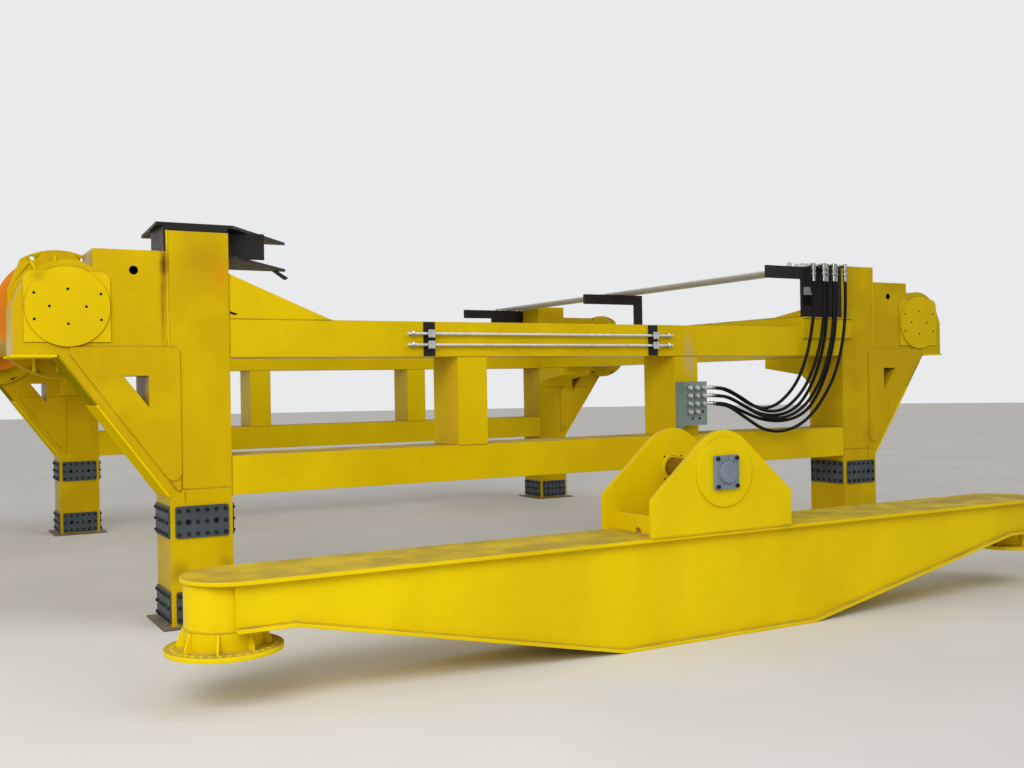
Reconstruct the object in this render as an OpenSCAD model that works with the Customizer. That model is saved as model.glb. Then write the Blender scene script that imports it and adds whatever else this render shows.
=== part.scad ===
// Straddle carrier: upper frame on bolted legs, with one walking beam set down in front.
// Millimetres, +Z up, X along the travel direction, origin under the middle of the whole set.

/* [Frame] */
// Distance between the column centres along the machine
column_pitch = 5980; // [4500:1:8000]
// Distance between the centres of the front and the rear wall
wall_pitch = 5375; // [4000:1:7000]
// Width of a column along the machine
column_w = 400; // [300:1:500]
// Depth of the walls, their beams and columns
wall_depth = 420; // [300:1:520]
// Height of the column tops
column_top = 2555; // [2500:1:2580]
// Height of the bolted joint between column and leg
joint_z = 677; // [640:1:720]
// Gap between the upper splice plates and the lower beams
lower_beam_gap = 52; // [20:1:120]
// Height of the lower beams
lower_beam_h = 258; // [150:1:350]
// Underside of the upper beams
upper_beam_z = 1740; // [1600:1:1760]
// Height of the upper beams
upper_beam_h = 254; // [150:1:270]
// Width of the posts between the beams
post_w = 240; // [150:1:300]
// Distance of the posts from the middle of the wall
post_x = 995; // [700:1:1200]
// Length of the haunch on the upper beam
haunch_l = 711; // [400:1:900]
// Height of the haunch where it meets the column
haunch_top = 2290; // [2200:1:2350]
// Height of the cross beams that tie the two walls
cross_beam_h = 385; // [300:1:450]
// Length of the wedge where a cross beam meets a column
wedge_l = 555; // [300:1:800]
// Rise of that wedge at the column
wedge_rise = 78; // [40:1:120]
// Length of the haunch under a cross beam
under_l = 598; // [400:1:700]
// Height of that haunch at its free end
under_end_h = 98; // [60:1:140]
// Height of that haunch next to the column
under_knee_h = 167; // [150:1:200]
// Distance of its knee from the column
under_knee = 109; // [60:1:160]
// Height of that haunch on the column
under_column_h = 250; // [220:1:290]

/* [Legs] */
// Thickness of the foot plates
foot_t = 12; // [8:1:30]
// Overhang of the foot plates around the leg
foot_margin = 65; // [20:1:120]
// Distance of the front and rear splice plates from the leg's edges
splice_front_margin = 29; // [15:1:60]
// Distance of the side splice plates from the leg's edges
splice_side_margin = 15; // [10:1:60]
// Height of the splice plates
splice_h = 206; // [180:1:230]
// Thickness of the splice plates
splice_t = 12; // [8:1:20]
// Radius of the splice plates' corners
splice_corner = 15; // [5:1:25]
// Underside of the lower splice plates
lower_splice_z = 25; // [20:1:60]

/* [Wings and heads] */
// Drop of the shoulder that carries the head below the column's top
shoulder_drop = 135; // [60:1:200]
// Length of the shoulder outside the column
shoulder_l = 446; // [400:1:500]
// Distance of the drum axis from the column
drum_out = 595; // [560:1:640]
// Height of the drum axis
drum_z = 2053; // [2020:1:2080]
// Radius of the head's crown around the drum axis
crown_r = 290; // [265:1:310]
// Reach of the head beyond the drum axis
head_reach = 313; // [300:1:380]
// Angle at which the crown runs into the head's bevel
bevel_turn = 33; // [20:1:45]
// Rise of the bevel's lower end above the drum axis
bevel_rise = 5; // [0:1:60]
// Drop of the head's underside below the drum axis
head_drop = 295; // [290:1:340]
// Where the diagonal starts under the head, from the column
knee_out = 655; // [600:1:700]
// Foot of the diagonal on the column
diagonal_z = 850; // [820:1:900]
// Overlap of the wing plates on the column
wing_lap = 75; // [40:1:120]
// Thickness of the wing plates
wing_plate_t = 10; // [6:1:16]
// Distance of the wing's window from the column
window_out = 120; // [90:1:160]
// Width of that window
window_w = 155; // [100:1:170]
// Drop of the window's top below the head
window_drop = 134; // [90:1:180]
// Height of that window
window_h = 205; // [120:1:220]
// How far the wing plates stay back from the diagonal's edge, along the machine
wing_plate_back = 70; // [40:1:90]
// Rise of the wing plates above the head's underside
wing_plate_rise = 47; // [20:1:60]
// Radius of the wing plates' corners on the column
wing_plate_corner = 50; // [20:1:70]
// Diameter of the lifting holes in the shoulders
lift_hole_d = 56; // [40:1:80]
// Distance of the lifting holes from the column
lift_hole_out = 202; // [150:1:260]
// Drop of the lifting holes below the shoulder's top
lift_hole_drop = 129; // [80:1:200]
// Distance of the head covers from the crown's edge
cover_margin = 44; // [5:1:60]
// Thickness of the head covers
cover_t = 12; // [6:1:20]
// Overhang of the doubler beside its cover
doubler_margin = 4; // [2:1:30]
// How far a cover reaches past its doubler above and below
cover_past = 28; // [10:1:60]
// Thickness of that doubler
doubler_t = 10; // [6:1:16]
// Radius of the plates behind the heads
back_plate_r = 415; // [400:1:430]
// Drop of their middle below the drum axis
back_plate_drop = 20; // [0:1:30]
// Distance of their flat outer side from the drum axis
back_plate_flat = 300; // [270:1:320]
// Height of that flat side's upper end above the drum axis
back_plate_flat_top = 134; // [80:1:160]
// Distance of the bevel's upper end from the drum axis, along the machine
back_plate_bevel = 222; // [200:1:250]
// Thickness of the plates behind the heads
back_plate_t = 40; // [25:1:60]
// Distance of the small holes from those plates' edge
back_hole_edge = 26; // [25:1:60]
// Turn of the small holes from the upright
back_hole_turn = 23; // [15:1:30]
// Diameter of those small holes
back_hole_d = 30; // [20:1:40]

/* [Drums] */
// Outer radius of the drum core
drum_core_r = 165; // [120:1:200]
// Outer radius of the drum flanges
drum_flange_r = 370; // [300:1:378]
// Radius of the drum flanges' round hubs
drum_hub_r = 290; // [240:1:295]
// Where the left drum's flanges start to reach past their hubs
drum_ear_x = 200; // [150:1:225]
// Thickness of the drum flanges
drum_flange_t = 20; // [12:1:30]
// Distance of a drum flange from the plate behind the head
drum_flange_gap = 135; // [100:1:300]
// Radius of the journals
journal_r = 60; // [40:1:80]
// Depth of the journals in the heads
journal_depth = 80; // [40:1:120]
// Gap between the drum core and the plate behind the head
core_gap = 60; // [20:1:100]

/* [Walking beam] */
// Distance of the walking beam from the front wall, centre to centre
walking_gap = 2067; // [1500:1:3000]
// Place of the walking beam's middle along the machine
walking_x = -416; // [-1200:1:1000]
// Distance from the walking beam's middle to its end tubes
tube_x = 2925; // [2500:1:3400]
// Height of its top surface
walking_top = 630; // [560:1:700]
// Width of its top and bottom plates
walking_w = 520; // [460:1:600]
// Thickness of its top and bottom plates
walking_t = 20; // [12:1:30]
// Width over its webs
web_w = 440; // [380:1:450]
// Underside of its ends
walking_end_z = 385; // [340:1:420]
// Half length of the flat belly
belly_half = 730; // [500:1:1000]
// Distance of the belly's outer kinks from the end tubes' axes
kink_in = 285; // [230:1:600]
// Radius of the end tubes
tube_r = 190; // [160:1:200]
// Wall of the end tubes
tube_wall = 20; // [12:1:30]
// Radius of the slewing flanges
slew_r = 285; // [270:1:320]
// Thickness of the slewing flanges
slew_t = 25; // [16:1:40]
// Drop of the slewing flanges' underside below the beam's ends
slew_drop = 120; // [80:1:160]
// Distance of the bolt circle from the slewing flanges' edge
slew_edge = 35; // [25:1:40]
// Number of holes in a slewing flange
slew_count = 36; // [24:1:40]
// Diameter of those holes
slew_hole_d = 22; // [16:1:26]
// Half width of the lugs at their base
lug_half = 535; // [450:1:600]
// Height of the lugs' straight sides above the top plate
lug_side_h = 220; // [150:1:260]
// Height of the pin above the walking beam's top
pin_rise = 356; // [320:1:450]
// Radius of the lugs' round tops
lug_r = 250; // [230:1:280]
// Thickness of the lugs
lug_t = 30; // [20:1:40]
// Height of the rib between the lugs
lug_rib_h = 110; // [70:1:140]
// Distance of that rib from the lugs' left ends
lug_rib_in = 87; // [40:1:120]
// Radius of the doubler discs on the lugs
disc_r = 208; // [180:1:220]
// Thickness of the doubler discs
disc_t = 12; // [8:1:20]
// Diameter of the pin
pin_d = 125; // [100:1:140]
// Width of the keeper plate
keeper_w = 182; // [176:1:200]
// Height of the keeper plate
keeper_h = 202; // [190:1:220]
// Thickness of the keeper plate
keeper_t = 20; // [12:1:30]

/* [Brackets and pipes] */
// Thickness of the bracket plates
bracket_t = 20; // [10:1:30]
// Height of the left brackets above the column
stub_rise = 55; // [30:1:120]
// Length of the left brackets beside the column
stub_l = 449; // [400:1:560]
// Overhang of the left brackets' top plates past the column
stub_margin = 46; // [20:1:80]
// How far those plates stay inside the wall's faces
stub_inset = 17; // [0:1:40]
// Width of the left brackets' free ends
stub_end_w = 120; // [80:1:200]
// Length of the left brackets' webs beside the column
stub_web_l = 301; // [200:1:360]
// Drop of the left brackets' lower plates below the top
stub_depth = 245; // [200:1:290]
// Reach of the right brackets' arms from the column
arm_l = 900; // [700:1:1100]
// Width of the right brackets' panels and of the step boxes under them
panel_l = 490; // [420:1:600]
// Height of the step boxes on the upper beam
step_h = 90; // [60:1:140]
// Height of the step boxes' front plates
step_plate_h = 178; // [120:1:220]
// How far those plates lap onto the column
step_lap = 110; // [60:1:180]
// Distance of the middle bracket from the front wall's face
middle_bracket_far = 3140; // [2200:1:3300]
// Height of the arms that carry the cross pipes
arm_h = 110; // [80:1:160]
// Radius of the steel pipes
pipe_r = 11; // [8:1:14]
// Drop of the cross pipes' axes below the column tops
cross_pipe_drop = 14; // [12:1:60]
// Length of the elbows' downward legs
elbow_l = 141; // [100:1:200]
// Reach of the front beam pipes to each side of their middle
front_pipe_half = 1180; // [1000:1:1300]
// Middle of the front beam pipes along the machine
front_pipe_x = -345; // [-500:1:-100]
// Height of the lower front beam pipe above the beam's underside
front_pipe_rise = 85; // [60:1:100]
// Distance between the two front beam pipes
front_pipe_pitch = 80; // [60:1:110]
// Half distance between the clamps of the front beam pipes
clamp_half = 1001; // [800:1:1050]
// Width of the black strips under the clamps
strip_w = 90; // [60:1:120]
// Thickness of those strips
strip_t = 10; // [5:1:20]
// Outer radius of the hoses
hose_r = 14; // [10:1:15]
// Distance of the bulkhead plate's edges from the post's edges
bulkhead_margin = 5; // [0:1:20]
// Underside of the bulkhead plate above the lower beam
bulkhead_rise = 80; // [40:1:150]
// Height of the bulkhead plate
bulkhead_h = 357; // [320:1:400]
// Distance of the bulkhead plate from the post
bulkhead_gap = 112; // [111:1:140]
// Thickness of the bulkhead plate
bulkhead_t = 8; // [5:1:12]

/* [Hidden] */

yellow = "#f0cb08";
steel_grey = "#3f474b";
black = "#1f1d1b";
orange = "#d77a12";
pipe_steel = "#8b8873";
zinc = "#d5d8d2";
raw_steel = "#6b6253";
hose_black = "#141414";

// Radial running clearance of a shaft in its hole
running = 0.05;
// How far the joined solids of one node reach into each other
bite = 1;
// Gap above a wing's inner plate, to the cross beam's haunch and to the plate behind the head
inner_plate_gap = 15;

column_x = column_pitch / 2;
column_inner_x = column_x - column_w / 2;
upper_beam_top = upper_beam_z + upper_beam_h;
cross_beam_top = upper_beam_z + cross_beam_h;
under_z = upper_beam_z - under_column_h;

// Upper splice plates straddle the bolted joint, the lower beams start above them
upper_splice_z = joint_z - splice_h / 2;
lower_beam_z = joint_z + splice_h / 2 + lower_beam_gap;
lower_beam_top = lower_beam_z + lower_beam_h;

// Heads and wings, X from the column's outer face
shoulder_top = column_top - shoulder_drop;
lift_hole_z = shoulder_top - lift_hole_drop;
head_z = drum_z - head_drop;
head_out = drum_out + head_reach;
window_top = head_z - window_drop;
wing_plate_top = head_z + wing_plate_rise;
inner_plate_top = min(under_z, drum_z - back_plate_drop - back_plate_r) - inner_plate_gap;
cover_r = crown_r - cover_margin;
doubler_w = 2 * (cover_r + doubler_margin);
doubler_h = 2 * (cover_r - cover_past);
// Where the back plate's bevel meets its round edge
back_plate_bevel_top = sqrt(back_plate_r ^ 2 - back_plate_bevel ^ 2) - back_plate_drop;

// The whole set's box runs from the slewing flange in front to the rear head covers
set_front = -walking_gap - slew_r;
set_rear = wall_pitch + wall_depth / 2 + doubler_t + cover_t;
front_wall_y = -(set_front + set_rear) / 2;
rear_wall_y = front_wall_y + wall_pitch;
front_face_y = front_wall_y - wall_depth / 2;
inner_front_y = front_wall_y + wall_depth / 2;
inner_rear_y = rear_wall_y - wall_depth / 2;
walking_y = front_wall_y - walking_gap;

// Corners of the machine, columns: side along X, side along Y
corners = [[-1, -1], [1, -1], [-1, 1], [1, 1]];

// Ends of the walking beam
kink_x = tube_x - kink_in;
slew_z = walking_end_z - slew_drop;
slew_pcd = 2 * (slew_r - slew_edge);

// Lugs of the walking beam
lug_outer_y = walking_w / 2;
lug_inner_y = lug_outer_y - lug_t;
lug_knee_z = walking_top + lug_side_h;
pin_z = walking_top + pin_rise;
pin_r = pin_d / 2;

// Thickness of the ledge on the step boxes' front plates
step_ledge_t = 12;

// Brackets over the columns
stub_top = column_top + stub_rise;
arm_x = column_inner_x - arm_l;
panel_x = column_inner_x - panel_l;
middle_bracket_y = front_face_y + middle_bracket_far;

// Pipes over the cross beams: distance from the column and how far their elbows stand in front
pipe_rows = [[400, 60], [310, 95], [240, 60], [190, 95], [130, 60], [50, 95]];
cross_pipe_z = column_top - cross_pipe_drop;
arm_top = cross_pipe_z - pipe_r;
// Wall of the fittings around a pipe
fitting_wall = 4;
// Overhang of the cross pipes past the walls
pipe_overhang = 20;

// Pipes along the front beam
front_pipe_heights = [upper_beam_z + front_pipe_rise, upper_beam_z + front_pipe_rise + front_pipe_pitch];
clamp_w = 44;
clamp_h = 48;
clamp_depth = 36;
front_pipe_y = front_face_y - strip_t - clamp_depth / 2;

// Bulkhead plate on the second post, its fittings in rows of three
bulkhead_w = post_w - 2 * bulkhead_margin;
bulkhead_z = lower_beam_top + bulkhead_rise;
bulkhead_gusset_drop = 120;
fitting_pitch_x = 72;
fitting_pitch_z = 65;
fitting_first_z = bulkhead_z + 110;
fitting_hole_r = 11;
// Hexagon bodies in front of the plate
fitting_body_r = 14;
fitting_body_l = 40;
ferrule_r = 15;
hose_end_x = 1180;

// Hose routes: X from the middle, Z from the floor; each lies in the plane of its elbow
hose_routes = [
    [[2390, 2400], [2388, 2250], [2378, 2100], [2350, 1950], [2310, 1800], [2250, 1650], [2165, 1510],
     [2050, 1395], [1915, 1315], [1765, 1290], [1610, 1335], [1465, 1410], [1325, 1462], [1180, 1475]],
    [[2480, 2400], [2478, 2245], [2468, 2090], [2442, 1935], [2398, 1780], [2330, 1625], [2235, 1475],
     [2110, 1355], [1960, 1275], [1795, 1265], [1635, 1315], [1480, 1395], [1330, 1460], [1180, 1475]],
    [[2550, 2400], [2548, 2240], [2538, 2080], [2515, 1920], [2470, 1760], [2405, 1600], [2310, 1440],
     [2190, 1315], [2045, 1245], [1875, 1225], [1700, 1255], [1530, 1330], [1360, 1395], [1180, 1410]],
    [[2600, 2400], [2598, 2240], [2588, 2080], [2563, 1920], [2520, 1760], [2455, 1600], [2360, 1445],
     [2235, 1315], [2080, 1230], [1900, 1200], [1720, 1230], [1540, 1310], [1360, 1390], [1180, 1410]],
    [[2660, 2400], [2658, 2235], [2648, 2070], [2625, 1905], [2580, 1740], [2515, 1575], [2420, 1410],
     [2290, 1270], [2125, 1195], [1935, 1175], [1740, 1200], [1550, 1265], [1365, 1332], [1180, 1345]],
    [[2740, 2400], [2738, 2230], [2725, 2050], [2695, 1870], [2640, 1690], [2560, 1520], [2450, 1370],
     [2310, 1230], [2140, 1130], [1940, 1087], [1740, 1115], [1545, 1215], [1360, 1314], [1180, 1345]]];

// Place in one corner: local X points away from the machine's middle, local Y outwards too
module corner(side_x, side_y) {
    translate([side_x * column_x, side_y < 0 ? front_wall_y : rear_wall_y, 0])
        mirror([side_x < 0 ? 1 : 0, 0, 0])
            mirror([0, side_y < 0 ? 1 : 0, 0])
                children();
}

// Both walls: local Y points outwards
module each_wall() {
    for (side = [-1, 1])
        translate([0, side < 0 ? front_wall_y : rear_wall_y, 0])
            mirror([0, side < 0 ? 1 : 0, 0])
                children();
}

// Carry a flat outline in X and Z through the thickness t from y upwards
module upright(y, t) {
    translate([0, y + t, 0])
        rotate([90, 0, 0])
            linear_extrude(t)
                children();
}

// Carry a flat outline in Y and Z through the thickness t from x upwards
module upright_side(x, t) {
    translate([x, 0, 0])
        rotate([90, 0, 90])
            linear_extrude(t)
                children();
}

// Cylinder along +Y
module bar_y(r, l, sides = 48) {
    rotate([-90, 0, 0])
        cylinder(r = r, h = l, $fn = sides);
}

// Cylinder along +X
module bar_x(r, l, sides = 48) {
    rotate([0, 90, 0])
        cylinder(r = r, h = l, $fn = sides);
}

// Rectangle with round corners, centred
module round_rect(w, h, r) {
    square([w - 2 * r, h], center = true);
    square([w, h - 2 * r], center = true);
    for (x = [-1, 1], y = [-1, 1])
        translate([x * (w / 2 - r), y * (h / 2 - r)])
            circle(r, $fn = 32);
}

// Outline with round corners, from its points [x, y, radius] in order; an arc has eight steps
function rounded(points) = [
    for (i = [0 : len(points) - 1])
        let (n = len(points), r = points[i][2], p = flat(points[i]),
             a = flat(points[(i + n - 1) % n]) - p, b = flat(points[(i + 1) % n]) - p,
             u = a / norm(a), v = b / norm(b), half = acos(u * v) / 2, turn = 180 - 2 * half,
             centre = p + (u + v) / norm(u + v) * r / sin(half),
             first = p + u * r / tan(half) - centre, last = p + v * r / tan(half) - centre)
        each r == 0 ? [p] : [for (k = [0 : 8])
            centre + (first * sin((1 - k / 8) * turn) + last * sin(k / 8 * turn)) / sin(turn)]];
function flat(point) = [point[0], point[1]];

module upper_beam(wall_y) {
    color(yellow)
        translate([-column_inner_x, wall_y - wall_depth / 2, upper_beam_z])
            cube([2 * column_inner_x, wall_depth, upper_beam_h]);
}

module lower_beam(wall_y) {
    color(yellow)
        translate([-column_inner_x, wall_y - wall_depth / 2, lower_beam_z])
            cube([2 * column_inner_x, wall_depth, lower_beam_h]);
}

module posts(wall_y) {
    color(yellow)
        for (side = [-1, 1])
            translate([side * post_x - post_w / 2, wall_y - wall_depth / 2, lower_beam_top])
                cube([post_w, wall_depth, upper_beam_z - lower_beam_top]);
}

module haunches() {
    color(yellow)
        each_wall()
            upright(-wall_depth / 2, wall_depth)
                polygon([[-column_inner_x, upper_beam_top], [-column_inner_x + haunch_l, upper_beam_top],
                         [-column_inner_x, haunch_top]]);
}

module step_boxes() {
    ledge_out = 24;
    top = upper_beam_top + step_h;
    color(yellow)
        each_wall() {
            translate([panel_x, -wall_depth / 2, upper_beam_top])
                cube([panel_l, wall_depth, step_h]);
            translate([panel_x, wall_depth / 2, top - step_ledge_t - step_plate_h])
                cube([panel_l + step_lap, wing_plate_t, step_plate_h]);
            translate([panel_x, wall_depth / 2, top - step_ledge_t])
                cube([panel_l + step_lap, ledge_out, step_ledge_t]);
        }
}

module cross_beam(side) {
    beam_l = inner_rear_y - inner_front_y;
    color(yellow)
        upright_side(side * column_x - column_w / 2, column_w)
            translate([inner_front_y, 0])
                polygon([[0, under_z], [under_knee, upper_beam_z - under_knee_h],
                         [under_l, upper_beam_z - under_end_h], [under_l, upper_beam_z],
                         [beam_l - under_l, upper_beam_z], [beam_l - under_l, upper_beam_z - under_end_h],
                         [beam_l - under_knee, upper_beam_z - under_knee_h], [beam_l, under_z],
                         [beam_l, cross_beam_top + wedge_rise], [beam_l - wedge_l, cross_beam_top],
                         [wedge_l, cross_beam_top], [0, cross_beam_top + wedge_rise]]);
}

module column(side_x, side_y) {
    color(yellow)
        corner(side_x, side_y)
            translate([-column_w / 2, -wall_depth / 2, joint_z])
                cube([column_w, wall_depth, column_top - joint_z]);
}

module leg(side_x, side_y) {
    color(yellow)
        corner(side_x, side_y)
            translate([-column_w / 2, -wall_depth / 2, foot_t])
                cube([column_w, wall_depth, joint_z - foot_t]);
}

module foot_plates() {
    color(raw_steel)
        for (c = corners)
            corner(c[0], c[1])
                translate([-column_w / 2 - foot_margin, -wall_depth / 2 - foot_margin, 0])
                    cube([column_w + 2 * foot_margin, wall_depth + 2 * foot_margin, foot_t]);
}

module splice_set(z) {
    for (side = [-1, 1]) {
        translate([0, side < 0 ? -wall_depth / 2 - splice_t : wall_depth / 2, z + splice_h / 2])
            upright(0, splice_t)
                round_rect(column_w - 2 * splice_front_margin, splice_h, splice_corner);
        translate([side < 0 ? -column_w / 2 - splice_t : column_w / 2, 0, z + splice_h / 2])
            upright_side(0, splice_t)
                round_rect(wall_depth - 2 * splice_side_margin, splice_h, splice_corner);
    }
}

module splice_plates() {
    color(steel_grey)
        for (c = corners)
            corner(c[0], c[1]) {
                splice_set(upper_splice_z);
                splice_set(lower_splice_z);
            }
}

// Outline of the head, shoulder and diagonal, X measured from the column's outer face
module wing_outline() {
    bevel_start = [drum_out + crown_r * cos(bevel_turn), drum_z + crown_r * sin(bevel_turn)];
    difference() {
        union() {
            polygon([[0, shoulder_top], [shoulder_l, shoulder_top], [shoulder_l, drum_z],
                     bevel_start, [head_out, drum_z + bevel_rise], [head_out, head_z],
                     [knee_out, head_z], [0, diagonal_z]]);
            translate([drum_out, drum_z])
                circle(crown_r, $fn = 96);
        }
        translate([lift_hole_out, lift_hole_z])
            circle(d = lift_hole_d, $fn = 48);
        wing_window();
    }
}

// Three-cornered window in the wing: its corners follow the diagonal
module wing_window() {
    polygon([[window_out, window_top], [window_out + window_w, window_top],
             [window_out, window_top - window_h]]);
}

module wing(side_x, side_y) {
    color(yellow)
        corner(side_x, side_y)
            translate([column_w / 2, 0, 0])
                difference() {
                    union() {
                        upright(-wall_depth / 2, wall_depth)
                            wing_outline();
                        upright(wall_depth / 2, wing_plate_t)
                            wing_plate(wing_plate_top);
                        upright(-wall_depth / 2 - wing_plate_t, wing_plate_t)
                            wing_plate(inner_plate_top);
                    }
                    translate([drum_out, -wall_depth / 2 - bite, drum_z])
                        bar_y(journal_r + running, journal_depth + bite + running);
                }
}

// Outline of the plate on a wing's face up to the height top: it laps onto the column, with round
// corners there, and keeps a strip of the wing free along the diagonal
module wing_plate(top) {
    slope = (head_z - diagonal_z) / knee_out;
    // Height of the plate's slanting edge at the distance x from the column
    function edge_z(x) = diagonal_z + (x + wing_plate_back) * slope;
    edge_top = min(top, edge_z(knee_out - wing_plate_back));
    edge_x = (edge_top - diagonal_z) / slope - wing_plate_back;
    difference() {
        polygon(rounded([[-wing_lap, top, wing_plate_corner],
                         if (top > edge_top) [edge_x, top, 0],
                         [edge_x, edge_top, 0],
                         [-wing_lap, edge_z(-wing_lap), wing_plate_corner]]));
        wing_window();
    }
}

module head_covers() {
    // The doubler is square below and round above
    top_corner = 60;
    color(yellow)
        for (c = corners)
            corner(c[0], c[1])
                translate([column_w / 2 + drum_out, wall_depth / 2, drum_z]) {
                    upright(0, doubler_t)
                        polygon(rounded([
                            for (p = [[-1, -1, 0], [1, -1, 0], [1, 1, top_corner], [-1, 1, top_corner]])
                                [p[0] * doubler_w / 2, p[1] * doubler_h / 2, p[2]]]));
                    translate([0, doubler_t, 0])
                        bar_y(cover_r, cover_t, 96);
                }
}

module back_plates() {
    color(yellow)
        for (c = corners)
            corner(c[0], c[1])
                translate([column_w / 2 + drum_out, -wall_depth / 2 - back_plate_t, drum_z])
                    upright(0, back_plate_t)
                        difference() {
                            back_plate_outline();
                            circle(journal_r + running, $fn = 48);
                            for (up = [0, 180], side = [-1, 1])
                                translate([0, -back_plate_drop])
                                    rotate(up + side * back_hole_turn)
                                        translate([0, back_plate_r - back_hole_edge])
                                            circle(d = back_hole_d, $fn = 24);
                        }
}

// Round plate with a flat and a bevel on its outer side, around the drum axis
module back_plate_outline() {
    past = 2 * back_plate_r;
    intersection() {
        translate([0, -back_plate_drop])
            circle(back_plate_r, $fn = 96);
        polygon([[-past, -past], [back_plate_flat, -past], [back_plate_flat, back_plate_flat_top],
                 [back_plate_bevel, back_plate_bevel_top], [back_plate_bevel, past], [-past, past]]);
    }
}

module left_brackets() {
    plate_z = stub_top - stub_depth;
    flap_l = 60;
    flap_h = 75;
    color(black)
        each_wall()
            translate([-column_inner_x, 0, 0]) {
                translate([0, 0, stub_top - bracket_t])
                    linear_extrude(bracket_t)
                        stub_plate(-column_w - stub_margin);
                translate([0, 0, plate_z])
                    linear_extrude(bracket_t)
                        stub_plate(0);
                translate([-column_w, -wall_depth / 2 + stub_inset, column_top])
                    cube([column_w, wall_depth - 2 * stub_inset, stub_rise - bracket_t]);
                translate([0, -bracket_t / 2, plate_z + bracket_t])
                    cube([stub_web_l, bracket_t, stub_depth - 2 * bracket_t]);
                translate([stub_l - flap_l, -bracket_t / 2, plate_z - flap_h])
                    cube([flap_l, bracket_t, flap_h]);
            }
}

// Plan of a left bracket's plate, from the column's inner face: it tapers beside the column
module stub_plate(start) {
    // Width of the straight part beside the column
    straight = 40;
    half = wall_depth / 2 - stub_inset;
    polygon([[start, -half], [straight, -half], [stub_l, -stub_end_w / 2], [stub_l, stub_end_w / 2],
             [straight, half], [start, half]]);
}

module right_brackets() {
    panel_z = upper_beam_top + step_h;
    color(black)
        each_wall()
            upright(wall_depth / 2 - bracket_t, bracket_t)
                polygon([[arm_x, arm_top - arm_h], [panel_x, arm_top - arm_h], [panel_x, panel_z],
                         [column_inner_x, panel_z], [column_inner_x, arm_top], [arm_x, arm_top]]);
}

module middle_bracket() {
    leg_back = 40;
    leg_w = 100;
    bar_h = 108;
    bar_l = 690;
    color(black)
        translate([column_inner_x - leg_back, middle_bracket_y, 0]) {
            translate([0, -bracket_t, cross_beam_top])
                cube([leg_w, 2 * bracket_t, arm_top - cross_beam_top]);
            translate([-bar_l, -bracket_t, arm_top - bar_h])
                cube([bar_l + bite, 2 * bracket_t, bar_h]);
        }
}

module cross_pipes() {
    pipe_l = wall_pitch + wall_depth + 2 * pipe_overhang;
    color(pipe_steel)
        for (p = pipe_rows)
            translate([column_inner_x - p[0], front_face_y - pipe_overhang, cross_pipe_z])
                bar_y(pipe_r, pipe_l, 24);
}

// Elbow at the front end of each cross pipe, turned down to its hose
module elbow_fittings() {
    elbow_r = pipe_r + 1.5 * fitting_wall;
    color(zinc)
        for (p = pipe_rows)
            translate([column_inner_x - p[0], front_face_y - p[1], cross_pipe_z]) {
                bar_y(pipe_r + fitting_wall, p[1] - pipe_overhang, 32);
                translate([0, 0, -elbow_l])
                    cylinder(r = elbow_r, h = elbow_l + elbow_r, $fn = 32);
            }
}

module front_pipes() {
    color(pipe_steel)
        for (z = front_pipe_heights)
            translate([front_pipe_x - front_pipe_half, front_pipe_y, z])
                bar_x(pipe_r, 2 * front_pipe_half, 24);
}

module pipe_clamps() {
    strip_back = 4;
    color(black)
        for (side = [-1, 1])
            translate([front_pipe_x + side * clamp_half, front_pipe_y, 0]) {
                translate([-strip_w / 2, clamp_depth / 2, upper_beam_z + strip_back])
                    cube([strip_w, strip_t, upper_beam_h - 2 * strip_back]);
                for (z = front_pipe_heights)
                    translate([-clamp_w / 2, -clamp_depth / 2, z - clamp_h / 2])
                        difference() {
                            cube([clamp_w, clamp_depth, clamp_h]);
                            translate([-bite, clamp_depth / 2, clamp_h / 2])
                                bar_x(pipe_r + running, clamp_w + 2 * bite, 24);
                        }
            }
}

module bulkhead_plate() {
    plate_x = post_x - bulkhead_w / 2;
    color("#7f8f8c")
        translate([0, front_face_y, 0]) {
            difference() {
                translate([plate_x, -bulkhead_gap - bulkhead_t, bulkhead_z])
                    cube([bulkhead_w, bulkhead_t, bulkhead_h]);
                for (column = [-1 : 1], row = [0 : 3])
                    translate([post_x + column * fitting_pitch_x, -bulkhead_gap - bulkhead_t - bite,
                               fitting_first_z + row * fitting_pitch_z])
                        bar_y(fitting_hole_r, bulkhead_t + 2 * bite, 24);
            }
            upright_side(plate_x, bulkhead_t)
                polygon([[-bulkhead_gap, bulkhead_z], [0, bulkhead_z - bulkhead_gusset_drop],
                         [0, bulkhead_z + bulkhead_h], [-bulkhead_gap, bulkhead_z + bulkhead_h]]);
        }
}

// Bulkhead fittings: column, row, and how far in front of the wall the hose leaves (0 where capped)
fitting_table = [[1, 3, 95], [0, 3, 60], [-1, 3, 0], [1, 2, 95], [0, 2, 60], [-1, 2, 0],
                 [1, 1, 95], [0, 1, 60], [-1, 1, 0], [-1, 0, 0], [0, 0, 0]];

module bulkhead_fittings() {
    shank_front = bulkhead_gap + bulkhead_t + bite;
    capped_l = 20;
    color(zinc)
        for (f = fitting_table) {
            x = post_x + f[0] * fitting_pitch_x;
            translate([x, front_face_y, fitting_first_z + f[1] * fitting_pitch_z]) {
                translate([0, -bulkhead_gap - bulkhead_t - fitting_body_l, 0])
                    bar_y(fitting_body_r, fitting_body_l, 24);
                translate([0, -shank_front, 0])
                    bar_y(fitting_hole_r - running, f[2] > 0 ? shank_front - f[2] : capped_l, 24);
                if (f[2] > 0)
                    translate([-ferrule_r, -f[2], 0])
                        bar_x(ferrule_r, hose_end_x - x + ferrule_r, 24);
            }
        }
}

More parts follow.
